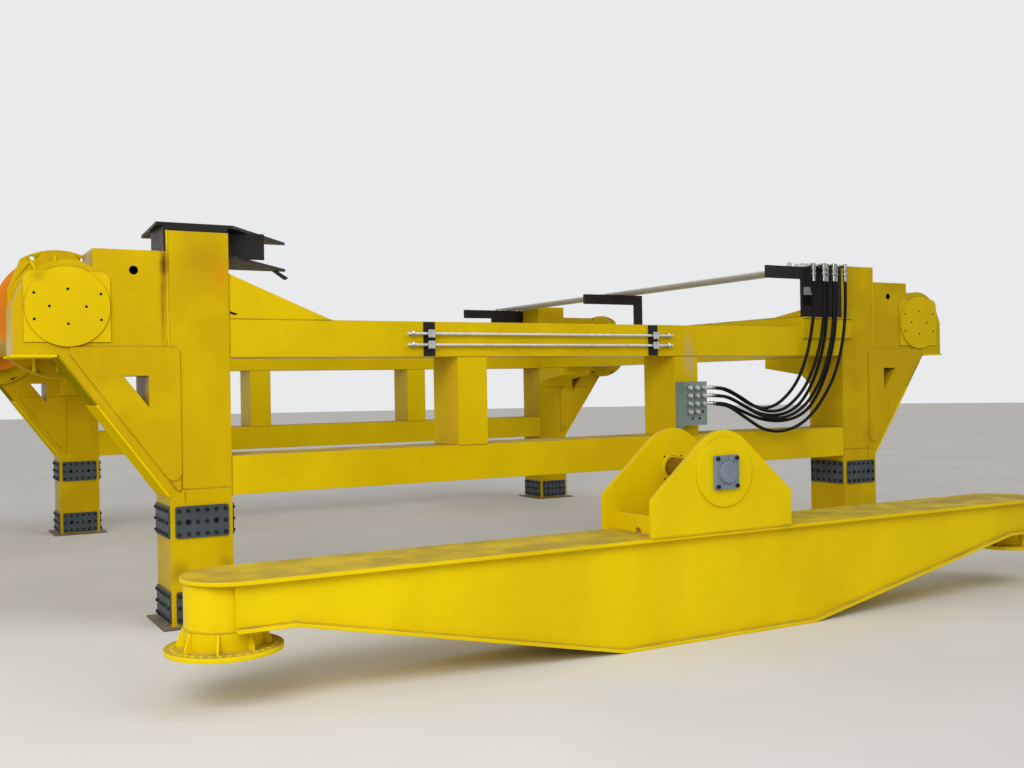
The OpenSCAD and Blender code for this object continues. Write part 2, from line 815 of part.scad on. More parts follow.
// Tube swept along a route in one upright plane
module hose(k) {
    route = hose_routes[k];
    n = len(route);
    sides = 8;
    along = [for (i = [0 : n - 1])
        let (a = route[max(i - 1, 0)], b = route[min(i + 1, n - 1)], d = b - a) d / norm(d)];
    // The first and last ring stand square to the fitting
    dirs = [for (i = [0 : n - 1]) i == 0 ? [0, -1] : i == n - 1 ? [-1, 0] : along[i]];
    points = [for (i = [0 : n - 1], s = [0 : sides - 1])
        let (a = 360 * s / sides, side = [dirs[i][1], -dirs[i][0]])
        [route[i][0] + hose_r * cos(a) * side[0], hose_r * sin(a), route[i][1] + hose_r * cos(a) * side[1]]];
    faces = concat(
        [[for (s = [0 : sides - 1]) s]],
        [for (i = [0 : n - 2], s = [0 : sides - 1])
            let (next = (s + 1) % sides)
            [i * sides + s, (i + 1) * sides + s, (i + 1) * sides + next, i * sides + next]],
        [[for (s = [sides - 1 : -1 : 0]) (n - 1) * sides + s]]);
    color(hose_black)
        translate([0, front_face_y - pipe_rows[k][1], 0])
            polyhedron(points, faces);
}

module drum_core(side) {
    start_y = inner_front_y + back_plate_t + core_gap;
    end_y = inner_rear_y - back_plate_t - core_gap;
    journal_start = inner_front_y - journal_depth;
    journal_l = inner_rear_y + journal_depth - journal_start;
    color(yellow)
        translate([side * (column_x + column_w / 2 + drum_out), 0, drum_z]) {
            translate([0, start_y, 0])
                bar_y(drum_core_r, end_y - start_y, 64);
            translate([0, journal_start, 0])
                bar_y(journal_r, journal_l, 48);
        }
}

// Round flanges; those of the left drum have an ear on their outer side
module drum_flanges(side) {
    first_y = inner_front_y + back_plate_t + drum_flange_gap;
    last_y = inner_rear_y - back_plate_t - drum_flange_gap - drum_flange_t;
    color(side < 0 ? orange : yellow)
        translate([side * (column_x + column_w / 2 + drum_out), 0, drum_z])
            for (y = [first_y, last_y])
                upright(y, drum_flange_t)
                    difference() {
                        union() {
                            circle(drum_hub_r, $fn = 96);
                            if (side < 0)
                                drum_ear();
                        }
                        circle(drum_core_r, $fn = 64);
                    }
}

module drum_ear() {
    intersection() {
        circle(drum_flange_r, $fn = 96);
        translate([-drum_flange_r, -drum_flange_r])
            square([drum_flange_r - drum_ear_x, 2 * drum_flange_r]);
    }
}

// Side outline of the walking beam down to the given height above its underside
module walking_outline(lift) {
    top = walking_top - walking_t;
    polygon([[-tube_x, top], [tube_x, top], [tube_x, walking_end_z + lift], [kink_x, walking_end_z + lift],
             [belly_half, lift], [-belly_half, lift], [-kink_x, walking_end_z + lift],
             [-tube_x, walking_end_z + lift]]);
}

// Space taken by the two end tubes
module end_tube_space() {
    for (side = [-1, 1])
        translate([side * tube_x, 0, 0])
            cylinder(r = tube_r, h = walking_top, $fn = 64);
}

module walking_web() {
    color(yellow)
        translate([walking_x, walking_y, 0])
            difference() {
                upright(-web_w / 2, web_w)
                    walking_outline(walking_t);
                end_tube_space();
            }
}

module walking_top_plate() {
    // The round ends are centred this much inside the end tubes' axes
    end_back = 55;
    color(yellow)
        translate([walking_x, walking_y, walking_top - walking_t])
            linear_extrude(walking_t) {
                square([2 * (tube_x - end_back), walking_w], center = true);
                for (side = [-1, 1])
                    translate([side * (tube_x - end_back), 0])
                        circle(walking_w / 2, $fn = 96);
            }
}

module walking_bottom_plate() {
    color(yellow)
        translate([walking_x, walking_y, 0])
            difference() {
                upright(-walking_w / 2, walking_w)
                    difference() {
                        walking_outline(0);
                        walking_outline(walking_t);
                    }
                end_tube_space();
            }
}

module walking_end_tubes() {
    tube_z = slew_z + slew_t;
    tube_h = walking_top - walking_t - tube_z;
    color(yellow)
        for (side = [-1, 1])
            translate([walking_x + side * tube_x, walking_y, tube_z])
                difference() {
                    cylinder(r = tube_r, h = tube_h, $fn = 64);
                    translate([0, 0, -bite])
                        cylinder(r = tube_r - tube_wall, h = tube_h + 2 * bite, $fn = 64);
                }
}

module slewing_flanges() {
    rib_count = 8;
    rib_t = 12;
    rib_clear = 5;
    rib_tip_h = 15;
    rib_top_w = 10;
    rib_out = slew_pcd / 2 - slew_hole_d;
    rib_top = slew_drop - rib_clear;
    color(yellow)
        for (side = [-1, 1])
            translate([walking_x + side * tube_x, walking_y, slew_z]) {
                difference() {
                    cylinder(r = slew_r, h = slew_t, $fn = 96);
                    translate([0, 0, -bite])
                        cylinder(r = tube_r - tube_wall, h = slew_t + 2 * bite, $fn = 64);
                    for (i = [0 : slew_count - 1])
                        rotate([0, 0, i * 360 / slew_count])
                            translate([slew_pcd / 2, 0, -bite])
                                cylinder(d = slew_hole_d, h = slew_t + 2 * bite, $fn = 24);
                }
                for (i = [0 : rib_count - 1])
                    rotate([0, 0, (i + 0.5) * 360 / rib_count])
                        upright(-rib_t / 2, rib_t)
                            polygon([[tube_r, slew_t - bite], [rib_out, slew_t - bite],
                                     [rib_out, slew_t + rib_tip_h], [tube_r + rib_top_w, rib_top],
                                     [tube_r, rib_top]]);
            }
}

// Outline of a lug: straight sides, then tangents up to the round top
module lug_outline() {
    knee = [lug_half, lug_knee_z - pin_z];
    turn = atan2(knee[1], knee[0]) + acos(lug_r / norm(knee));
    touch = [lug_r * cos(turn), lug_r * sin(turn)];
    polygon([[-lug_half, walking_top - pin_z], [lug_half, walking_top - pin_z], knee, touch, [0, 0],
             [-touch[0], touch[1]], [-knee[0], knee[1]]]);
    circle(lug_r, $fn = 96);
}

module walking_lugs() {
    color(yellow)
        translate([walking_x, walking_y, 0]) {
            for (y = [-lug_outer_y, lug_inner_y])
                translate([0, 0, pin_z])
                    upright(y, lug_t)
                        difference() {
                            lug_outline();
                            circle(pin_r + running, $fn = 64);
                        }
            translate([-lug_half + lug_rib_in, 0, walking_top])
                lug_rib();
        }
}

// Rib between the lugs, with a small drain hole at its foot
module lug_rib() {
    drain_r = 32;
    upright_side(0, bracket_t)
        difference() {
            translate([-lug_inner_y - bite, 0])
                square([2 * (lug_inner_y + bite), lug_rib_h]);
            circle(drain_r, $fn = 32);
        }
}

module lug_discs() {
    color(yellow)
        translate([walking_x, walking_y, pin_z])
            for (y = [-lug_outer_y - disc_t, lug_outer_y])
                upright(y, disc_t)
                    difference() {
                        circle(disc_r, $fn = 96);
                        circle(pin_r + running, $fn = 64);
                    }
}

module pivot_pin() {
    start = lug_outer_y + disc_t + keeper_t;
    color("#8a7440")
        translate([walking_x, walking_y - start, pin_z])
            bar_y(pin_r, start + lug_outer_y + disc_t, 64);
}

module keeper_plate() {
    color("#7d8a96")
        translate([walking_x, walking_y - lug_outer_y - disc_t, pin_z])
            upright(-keeper_t, keeper_t)
                difference() {
                    square([keeper_w, keeper_h], center = true);
                    circle(pin_r + running, $fn = 64);
                }
}

upper_beam(front_wall_y);  // upper_beam_front
upper_beam(rear_wall_y);  // upper_beam_rear
lower_beam(front_wall_y);  // lower_beam_front
lower_beam(rear_wall_y);  // lower_beam_rear
posts(front_wall_y);  // posts_front
posts(rear_wall_y);  // posts_rear
haunches();
step_boxes();
cross_beam(-1);  // cross_beam_left
cross_beam(1);  // cross_beam_right
column(-1, -1);  // column_front_left
column(1, -1);  // column_front_right
column(-1, 1);  // column_rear_left
column(1, 1);  // column_rear_right
leg(-1, -1);  // leg_front_left
leg(1, -1);  // leg_front_right
leg(-1, 1);  // leg_rear_left
leg(1, 1);  // leg_rear_right
foot_plates();
splice_plates();
wing(-1, -1);  // wing_front_left
wing(1, -1);  // wing_front_right
wing(-1, 1);  // wing_rear_left
wing(1, 1);  // wing_rear_right
head_covers();
back_plates();
left_brackets();
right_brackets();
middle_bracket();
cross_pipes();
elbow_fittings();
front_pipes();
pipe_clamps();
bulkhead_plate();
bulkhead_fittings();
hose(0);  // hose_1
hose(1);  // hose_2
hose(2);  // hose_3
hose(3);  // hose_4
hose(4);  // hose_5
hose(5);  // hose_6
drum_core(-1);  // drum_core_left
drum_core(1);  // drum_core_right
drum_flanges(-1);  // drum_flanges_left
drum_flanges(1);  // drum_flanges_right
walking_web();
walking_top_plate();
walking_bottom_plate();
walking_end_tubes();
slewing_flanges();
walking_lugs();
lug_discs();
pivot_pin();
keeper_plate();
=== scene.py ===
"""Straddle carrier in gloss yellow enamel: finishes, hoses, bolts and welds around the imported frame.

Metres. X runs along the machine, the front wall and the walking beam stand towards -Y, Z is up.
"""
from math import cos, pi, radians, sin

import bpy
import numpy as np
from mathutils import Matrix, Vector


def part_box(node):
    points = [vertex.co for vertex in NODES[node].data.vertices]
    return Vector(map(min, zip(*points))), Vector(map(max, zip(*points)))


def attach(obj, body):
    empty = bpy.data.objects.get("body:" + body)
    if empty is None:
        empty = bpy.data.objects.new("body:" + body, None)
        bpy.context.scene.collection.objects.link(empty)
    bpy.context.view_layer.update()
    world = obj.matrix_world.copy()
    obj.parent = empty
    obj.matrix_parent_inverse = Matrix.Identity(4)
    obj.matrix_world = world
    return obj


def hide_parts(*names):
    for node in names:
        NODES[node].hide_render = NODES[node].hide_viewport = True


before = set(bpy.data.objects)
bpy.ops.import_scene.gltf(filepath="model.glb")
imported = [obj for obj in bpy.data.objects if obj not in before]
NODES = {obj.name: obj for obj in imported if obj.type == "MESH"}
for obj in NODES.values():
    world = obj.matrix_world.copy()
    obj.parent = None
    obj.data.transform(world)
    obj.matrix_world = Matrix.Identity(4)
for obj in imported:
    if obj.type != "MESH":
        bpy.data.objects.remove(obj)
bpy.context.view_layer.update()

LOW = {name: np.array(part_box(name)[0]) for name in NODES}
HIGH = {name: np.array(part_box(name)[1]) for name in NODES}

# Places that several pieces share, all read from the frame's own boxes
FRONT_Y = LOW["upper_beam_front"][1]
REAR_Y = HIGH["upper_beam_rear"][1]
BEAM_LOW, BEAM_TOP = LOW["upper_beam_front"][2], HIGH["upper_beam_front"][2]
SILL_LOW, SILL_TOP = LOW["lower_beam_front"][2], HIGH["lower_beam_front"][2]
COLUMN_TOP = HIGH["column_front_left"][2]
COLUMN_X = (LOW["column_front_right"][0] + HIGH["column_front_right"][0]) / 2
HALF_W = HIGH["column_front_right"][0] - COLUMN_X
HALF_D = (HIGH["upper_beam_front"][1] - FRONT_Y) / 2
# Middle of the right drum, and how far out from the column's middle both drums and their round heads lie
DRUM = (LOW["drum_core_right"] + HIGH["drum_core_right"]) / 2
DRUM_OUT, HEAD_R = DRUM[0] - COLUMN_X, 0.29
# Underside of the heads, top of the shoulders and the foot of the diagonals on the columns
HEAD_LOW, SHOULDER_TOP, DIAGONAL_LOW = DRUM[2] - 0.295, HIGH["wing_front_right"][2], LOW["wing_front_right"][2]
# How far the diagonals reach out from the column, and the top edge of the wings' outer plates
DIAGONAL_REACH, WING_PLATE_TOP = 0.655, HEAD_LOW + 0.047
WALKING = (LOW["walking_web"] + HIGH["walking_web"]) / 2
WALKING_TOP = HIGH["walking_top_plate"][2]
# Inner and outer faces of the walking beam's lugs, from its middle
LUG_INNER, LUG_OUTER = 0.23, 0.26
PIN = (LOW["keeper_plate"] + HIGH["keeper_plate"]) / 2
PIPE_Z = (LOW["cross_pipes"][2] + HIGH["cross_pipes"][2]) / 2
CORNERS = [(x, y) for x in (-1, 1) for y in (-1, 1)]


# ---------------------------------------------------------------- camera

def photo_camera():
    """The photograph's view: turned right from +Y, tilted, then rolled about its own line of sight."""
    place, lens = (-4.7252, -9.0334, 1.5295), 38.545
    turn, tilt, roll = radians(29.447), radians(0.018), radians(-0.9706)
    ahead = np.array([sin(turn) * cos(tilt), cos(turn) * cos(tilt), sin(tilt)])
    level = np.array([cos(turn), -sin(turn), 0.0])
    above = np.cross(level, ahead)
    right = level * cos(roll) + above * sin(roll)
    up = above * cos(roll) - level * sin(roll)
    camera = bpy.data.objects.new("camera", bpy.data.cameras.new("camera"))
    camera.data.lens, camera.data.sensor_width = lens, 36
    camera.data.clip_end = 200
    axes = np.stack([right, up, -ahead], axis=1)
    camera.matrix_world = Matrix.Translation(place) @ Matrix(axes.tolist()).to_4x4()
    bpy.context.scene.collection.objects.link(camera)
    bpy.context.scene.camera = camera


photo_camera()


# ---------------------------------------------------------------- shapes, each as points and triangles

def strip(rings, sides):
    """Two triangles for each cell between neighbouring rings of a closed tube."""
    start = np.arange(rings - 1)[:, None] * sides
    a, b = start + np.arange(sides), start + (np.arange(sides) + 1) % sides
    return np.stack([a, b, b + sides, a, b + sides, a + sides], axis=-1).reshape(-1, 3)


def capped(rings, sides, ring_points):
    """Rings joined by a strip, with a fan of triangles about the middle of the first and the last ring."""
    points = ring_points.reshape(-1, 3)
    last = (rings - 1) * sides
    s = np.arange(sides)
    t = (s + 1) % sides
    poles = np.stack([points[:sides].mean(0), points[last:].mean(0)])
    n = len(points)
    fans = np.concatenate([np.stack([t, s, np.full(sides, n)], 1),
                           np.stack([last + s, last + t, np.full(sides, n + 1)], 1)])
    return np.concatenate([points, poles]), np.concatenate([strip(rings, sides), fans])


def turned(profile, sides=24):
    """Profile of (radius, height), from the bottom up, turned about Z and closed at both ends."""
    r, z = np.array(profile, float).T
    a = 2 * pi * np.arange(sides) / sides
    ring = np.stack([np.outer(r, np.cos(a)), np.outer(r, np.sin(a)), np.repeat(z[:, None], sides, 1)], -1)
    return capped(len(r), sides, ring)


def carried(path, radii, sides=12, across=(0, 1, 0)):
    """Circle of the given radii carried along the path; it stands square to the path, one axis on across."""
    path = np.array(path, float)
    along = np.gradient(path, axis=0)
    along /= np.linalg.norm(along, axis=1)[:, None]
    side = np.array(across, float) - (along @ np.array(across, float))[:, None] * along
    side /= np.linalg.norm(side, axis=1)[:, None]
    up = np.cross(side, along)
    a = 2 * pi * np.arange(sides) / sides
    spoke = side[:, None] * np.cos(a)[:, None] - up[:, None] * np.sin(a)[:, None]
    r = np.broadcast_to(radii, len(path))[:, None, None]
    return capped(len(path), sides, path[:, None] + r * spoke)


def outward(shape):
    """The shape with its triangles turned outwards: its volume, summed over the triangles, is positive."""
    points, tris = shape
    a, b, c = (points[tris[:, k]] for k in range(3))
    volume = (a * np.cross(b, c)).sum()
    return points, tris if volume > 0 else tris[:, ::-1]


def lining(outer, inner, length):
    """Round tube about Z, from its middle to half the length both ways: four rings joined in a loop."""
    sides = 32
    a = 2 * pi * np.arange(sides) / sides
    r, z = np.array([outer, outer, inner, inner]), np.array([-1, 1, 1, -1]) * length / 2
    ring = np.stack([np.outer(r, np.cos(a)), np.outer(r, np.sin(a)), np.repeat(z[:, None], sides, 1)], -1)
    return outward((ring.reshape(-1, 3), strip(5, sides) % (4 * sides)))


def slab(outline, low, high, axis=1):
    """Convex outline in the two other axes, carried along one axis from low to high."""
    flat = np.array(outline, float)
    rings = np.stack([np.insert(flat, axis, value, axis=1) for value in (low, high)])
    return outward(capped(2, len(flat), rings))


def block(low, high):
    """Box between two corners."""
    (x0, y0, z0), (x1, y1, z1) = low, high
    return slab([(x0, y0), (x1, y0), (x1, y1), (x0, y1)], z0, z1, axis=2)


def circle(centre, radius, axis=1, turn=(0, 360), steps=64):
    """Points on a circle about the axis, or on the arc between two turns in degrees."""
    a = np.radians(np.linspace(turn[0], turn[1], steps + 1))
    flat = np.column_stack([radius * np.cos(a), radius * np.sin(a)])
    return np.insert(flat, axis, 0.0, axis=1) + np.array(centre, float)


def bead(path, radius=0.004):
    """Weld bead: a round of the radius along the path, swelling and thinning with every 24 mm, as the
    radius times 1 + 0.22 sin(2 pi s / 24 mm) at the distance s along it. Its rings keep one axis on the
    normal of the plane in which the path lies, the direction of its points' least spread."""
    path = np.array(path, float)
    run = np.concatenate([[0], np.cumsum(np.linalg.norm(np.diff(path, axis=0), axis=1))])
    s = np.linspace(0, run[-1], max(int(run[-1] / 0.012), 2))
    fine = np.stack([np.interp(s, run, path[:, k]) for k in range(3)], axis=1)
    across = np.linalg.svd(path - path.mean(0))[2][-1]
    return outward(carried(fine, radius * (1 + 0.22 * np.sin(2 * pi * s / 0.024)), 6, across))


def towards(direction):
    """Rotation that carries +Z onto the direction, with its X level."""
    z = np.array(direction, float) / np.linalg.norm(direction)
    x = np.cross((0, 0, 1), z) if abs(z[2]) < 0.99 else np.array([1.0, 0, 0])
    x /= np.linalg.norm(x)
    return np.stack([x, np.cross(z, x), z], axis=1)


def repeated(shape, places, direction=(0, 0, 1)):
    """The shape turned towards one direction and set down at each place."""
    points, tris = shape
    places = np.array(places, float).reshape(-1, 1, 3)
    moved = points @ towards(direction).T + places
    step = np.arange(len(places))[:, None, None] * len(points)
    return moved.reshape(-1, 3), (tris + step).reshape(-1, 3)


def joined(*shapes):
    """Several shapes as one."""
    starts = np.cumsum([0] + [len(p) for p, _ in shapes[:-1]])
    return (np.concatenate([p for p, _ in shapes]),
            np.concatenate([t + start for (_, t), start in zip(shapes, starts)]))


def corner(points, x, y):
    """Places in one corner of the machine: local X runs outwards from the column's middle, local Y
    outwards from the wall's."""
    p = np.array(points, float)
    wall = FRONT_Y + HALF_D if y < 0 else REAR_Y - HALF_D
    return np.column_stack([x * (COLUMN_X + p[:, 0]), wall + y * p[:, 1], p[:, 2]])


def in_corners(shape, places=None):
    """The shape, given in a corner's own axes, in each of the corners."""
    return joined(*[outward((corner(shape[0], x, y), shape[1])) for x, y in places or CORNERS])


def piece(name, shape, material, body="frame", crease=40):
    """Object of one shape, smooth up to the crease angle in degrees, riding on its body."""
    mesh = bpy.data.meshes.new(name)
    mesh.from_pydata(shape[0].tolist(), [], shape[1].tolist())
    mesh.shade_smooth()
    mesh.set_sharp_from_angle(angle=radians(crease))
    mesh.materials.append(material)
    made = bpy.data.objects.new(name, mesh)
    bpy.context.scene.collection.objects.link(made)
    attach(made, body)
    return made


# ---------------------------------------------------------------- materials

def linear(colour):
    """sRGB hex to linear values, opaque."""
    c = np.array([int(colour[i:i + 2], 16) / 255 for i in (1, 3, 5)])
    c = np.where(c <= 0.04045, c / 12.92, ((c + 0.055) / 1.055) ** 2.4)
    return (*c.tolist(), 1.0)


def add(tree, kind, sockets=None, **settings):
    """Adds a node with its settings; a socket takes a number, a colour or another node's output."""
    made = tree.nodes.new("ShaderNode" + kind)
    for name, value in settings.items():
        setattr(made, name, value)
    for name, value in (sockets or {}).items():
        if isinstance(value, bpy.types.NodeSocket):
            tree.links.new(value, made.inputs[name])
        else:
            made.inputs[name].default_value = linear(value) if isinstance(value, str) else value
    return made


def new_material(name):
    """Empty node tree with Object coordinates: the tree, the coordinates and a function that closes it with
    a colour, a roughness and a relief, whose layers are (height, depth in metres)."""
    made = bpy.data.materials.new(name)
    made.use_nodes = True
    tree = made.node_tree
    tree.nodes.clear()
    place = add(tree, "TexCoord").outputs["Object"]

    def close(colour, roughness, relief=(), **constants):
        sockets = {"Base Color": colour, "Roughness": roughness}
        for height, depth in relief:
            bump = {"Height": height, "Distance": depth, "Strength": 1.0}
            if "Normal" in sockets:
                bump["Normal"] = sockets["Normal"]
            sockets["Normal"] = add(tree, "Bump", bump).outputs[0]
        sockets.update({key.replace("_", " "): value for key, value in constants.items()})
        shader = add(tree, "BsdfPrincipled", sockets)
        tree.links.new(shader.outputs[0], add(tree, "OutputMaterial").inputs["Surface"])
        return made

    return tree, place, close


def clouds(tree, place, size, detail=3.0, low=0.35, high=0.65):
    """Soft blobs that measure about the size in metres, spread to 0...1 between low and high."""
    cloud = add(tree, "TexNoise", {"Vector": place, "Scale": 1 / size, "Detail": detail})
    return add(tree, "MapRange", {"Value": cloud.outputs["Fac"], 1: low, 2: high}).outputs[0]


def coat(tree, below, above, *shares):
    """One colour laid over another as thickly as the product of the shares; gives the colour and that
    product."""
    cover = shares[0]
    for share in shares[1:]:
        cover = add(tree, "Math", {0: cover, 1: share}, operation="MULTIPLY").outputs[0]
    return add(tree, "Mix", {0: cover, 6: below, 7: above}, data_type="RGBA").outputs[2], cover


def upward(tree, start=0.6, end=0.95):
    """1 on surfaces that look up and 0 on upright ones, or the other way round where both are negative."""
    normal = add(tree, "NewGeometry").outputs["Normal"]
    z = add(tree, "SeparateXYZ", {0: normal}).outputs[2]
    return add(tree, "MapRange", {"Value": z, 1: start, 2: end}).outputs[0]


def spot(tree, place, centre, reach):
    """1 at the centre, falling in a soft curve to 0 at the reach, given along X, Y and Z; its edge is
    broken by blobs of 120 mm."""
    near = add(tree, "VectorMath", {0: place, 1: centre}, operation="SUBTRACT").outputs[0]
    scaled = add(tree, "VectorMath", {0: near, 1: reach}, operation="DIVIDE").outputs[0]
    far = add(tree, "VectorMath", {0: scaled}, operation="LENGTH").outputs["Value"]
    ragged = add(tree, "TexNoise", {"Vector": place, "Scale": 1 / 0.12, "Detail": 4.0}).outputs["Fac"]
    edge = add(tree, "Math", {0: ragged, 1: 0.7, 2: far}, operation="MULTIPLY_ADD").outputs[0]
    return add(tree, "MapRange", {"Value": edge, 1: 1.35, 2: 0.35}, interpolation_type="SMOOTHSTEP").outputs[0]


def yellow_enamel(name, marks=(), tint="#DABC06", runs="#CFB007", grime=0.0, gloss=0.05):
    """Alkyd gloss enamel sprayed on welded plate: lemon yellow in soft clouds of two spray coats, faint
    orange peel and plate waves, and workshop dust on what looks up. Marks are (centre, reach, colour,
    share) of scorched, smeared and pale spots; grime is the share of rust-brown dirt in patches."""
    tree, place, close = new_material(name)
    # The second coat thickens downwards in runs: clouds 1.1 m high and 0.5 m wide
    hanging = add(tree, "Mapping", {"Vector": place, "Scale": (2.0, 2.0, 0.9)}).outputs[0]
    shade = coat(tree, tint, runs, clouds(tree, hanging, 1.0, detail=4))[0]
    shade = coat(tree, shade, "#E6CB05", clouds(tree, place, 0.35, detail=5, low=0.5, high=0.72), 0.3)[0]
    shade = coat(tree, shade, "#B9960C", clouds(tree, place, 0.05, detail=3, low=0.5, high=0.8), 0.08)[0]
    if grime:
        shade = coat(tree, shade, "#6E4A16", clouds(tree, place, 0.16, detail=6, low=0.42, high=0.66), grime)[0]
    for centre, reach, colour, share in marks:
        shade = coat(tree, shade, colour, spot(tree, place, centre, reach), share)[0]
    shade, dust = coat(tree, shade, "#9C8644", upward(tree),
                       clouds(tree, place, 0.22, detail=5, low=0.1, high=0.62), 0.8)
    rough = add(tree, "MapRange", {"Value": dust, 3: 0.3, 4: 0.8}).outputs[0]
    # Orange peel is drawn at 8 mm, coarser than the real 2 mm, so that it shows
    peel, wave = clouds(tree, place, 0.008, 1, 0, 1), clouds(tree, place, 0.6, 2, 0, 1)
    return close(shade, rough, [(wave, 0.0016), (peel, 0.00002)], Specular_IOR_Level=gloss)


def flat_paint(name, colour, second, roughness):
    """Sprayed primer or satin paint: two close shades in soft clouds, with dust on what looks up."""
    tree, place, close = new_material(name)
    shade = coat(tree, colour, second, clouds(tree, place, 0.18, detail=5))[0]
    shade = coat(tree, shade, "#9C8F78", upward(tree), clouds(tree, place, 0.12, detail=5, low=0.2), 0.35)[0]
    rough = add(tree, "MapRange", {"Value": clouds(tree, place, 0.06), 3: roughness - 0.06,
                                   4: roughness + 0.08}).outputs[0]
    return close(shade, rough, [(clouds(tree, place, 0.004, 1, 0, 1), 0.00005)], Specular_IOR_Level=0.2)


def bare_metal(name, colour, second, roughness, stretch=(1, 1, 1), grain=0.004, underside_shade=0.0, metallic=1.0):
    """Bare or plated metal: two shades in streaks drawn out along one axis, roughness following them, patches
    of brown dirt, and a share of near-black painted shade on the surfaces that look down."""
    tree, place, close = new_material(name)
    drawn = add(tree, "Mapping", {"Vector": place, "Scale": stretch}).outputs[0]
    streak = clouds(tree, drawn, grain, detail=4, low=0.3, high=0.7)
    shade = coat(tree, colour, second, streak)[0]
    shade = coat(tree, shade, "#6B604C", clouds(tree, place, 0.09, detail=5, low=0.5, high=0.75), 0.3)[0]
    # Near-black on the surfaces that look down: painted shade on the undersides
    if underside_shade:
        shade = coat(tree, shade, "#1C1A16", upward(tree, -0.4, -0.9), underside_shade)[0]
    rough = add(tree, "MapRange", {"Value": streak, 3: roughness - 0.07, 4: roughness + 0.1}).outputs[0]
    return close(shade, rough, [(streak, 0.00004)], Metallic=metallic)


def mill_plate(name):
    """Hot-rolled plate with mill scale: blue-brown scale, rust blooms and workshop dust."""
    tree, place, close = new_material(name)
    shade = coat(tree, "#6B6253", "#57504A", clouds(tree, place, 0.12, detail=6))[0]
    shade = coat(tree, shade, "#7E5637", clouds(tree, place, 0.05, detail=6, low=0.5, high=0.68), 0.55)[0]
    shade = coat(tree, shade, "#A2937A", upward(tree), 0.35)[0]
    return close(shade, 0.7, [(clouds(tree, place, 0.012, 4, 0, 1), 0.0005)], Metallic=0.25)


def hose_rubber(name):
    """Nitrile hose cover, wrapped and cured: matt black with the faint print of the wrapping cloth."""
    tree, place, close = new_material(name)
    shade = coat(tree, "#070707", "#0E0D0D", clouds(tree, place, 0.06, detail=4))[0]
    # The cloth's weave is drawn at 2.5 mm, coarser than the real 0.8 mm, so that it shows
    return close(shade, 0.5, [(clouds(tree, place, 0.0025, 1, 0, 1), 0.0002)], Specular_IOR_Level=0.15)


def dark_hole(name):
    """Painted shadow for the unlit inside of a hole, painted over at its rim: near black and dull."""
    tree, place, close = new_material(name)
    shade = coat(tree, "#0C0A08", "#1B1611", clouds(tree, place, 0.01))[0]
    return close(shade, 0.85, Specular_IOR_Level=0.1)


# Scorched, smeared and thinly painted places on the front wall, one on the rear upper beam, and a pale grey
# patch on the left shoulder's end
MARKS = [((-2.930, -1.837, 2.380), (0.26, 0.1, 0.24), "#98761A", 0.33),
         ((-2.850, -1.837, 2.270), (0.12, 0.1, 0.20), "#CF8A06", 0.55),
         ((-3.204, -1.837, 2.330), (0.042, 0.1, 0.20), "#5E3A14", 1.0),
         ((-3.215, -1.837, 2.060), (0.025, 0.1, 0.40), "#8A6416", 0.7),
         # Pale grey patch on the left shoulder's end
         ((-3.638, -1.628, 2.345), (0.060, 0.22, 0.16), "#B9BBAE", 1.0),
         ((-3.143, -1.837, 0.362), (0.12, 0.1, 0.11), "#7A6118", 0.5),
         ((-2.840, -1.837, 0.398), (0.08, 0.1, 0.07), "#7F6216", 0.4),
         ((2.435, 3.748, 1.873), (0.26, 0.1, 0.13), "#7C6018", 0.5),
         ((1.030, -1.837, 1.720), (0.085, 0.1, 0.26), "#B2A88C", 0.5),
         ((3.10, -1.837, 1.02), (0.10, 0.1, 0.25), "#A07810", 0.4),
         ((-3.95, -1.860, 2.237), (0.08, 0.1, 0.06), "#8F7412", 0.4)]
ENAMEL = yellow_enamel("alkyd_enamel_yellow", MARKS)
# The columns, legs, wings and back plates get a darker copy of the enamel than the beams: painted shade
SHADED_ENAMEL = yellow_enamel("alkyd_enamel_painted_shade_yellow", MARKS, tint="#CBAB06", runs="#BD9C08")
# The walking beam and the lower part of the diagonals' bottom plates are the brightest: a lighter copy of the
# enamel, painted light
LIT_ENAMEL = yellow_enamel("alkyd_enamel_painted_light_yellow", tint="#E8CC06", runs="#DCBE06")
# Bottom plates of the wings and heads: the same bright coat without gloss, a lighter tint that is painted light
# on these undersides
LIT_UNDERSIDE_ENAMEL = yellow_enamel("alkyd_enamel_underside_painted_light", tint="#E8CC06", runs="#DCBE06", gloss=0.0)
# Upper end of the diagonals' bottom plate, painted olive: painted shade from the head above
SHADED_UPPER_ENAMEL = yellow_enamel("alkyd_enamel_painted_shade_upper", tint="#A8920A", runs="#93800A", gloss=0.0)
# Weld beads: darker copies of the enamel, painted shade along the joints, and rust-brown dirt in patches on the
# frame's beads
SEAM_SHADE_AND_DIRT = yellow_enamel("alkyd_enamel_weld_beads_shade_and_dirt", tint="#C3A008", runs="#B0900A", grime=0.5)
CLEAN_SEAM_SHADE = yellow_enamel("alkyd_enamel_clean_beads_shade", tint="#D4B708", runs="#C9AB08", grime=0.15)
PRIMER = flat_paint("zinc_primer_slate", "#3C444A", "#474F54", 0.5)
SATIN_BLACK = flat_paint("satin_black_paint", "#1B1917", "#242120", 0.45)
ORANGE = flat_paint("satin_orange_paint", "#DF8614", "#CE7810", 0.38)
BULKHEAD_GREY = flat_paint("grey_green_primer", "#7F8F8C", "#72827F", 0.5)
LIGHT_GREY = flat_paint("light_grey_paint", "#9B9C99", "#8B8C8A", 0.5)
KEEPER_GREY = flat_paint("blue_grey_primer", "#7D8A96", "#707D8A", 0.42)
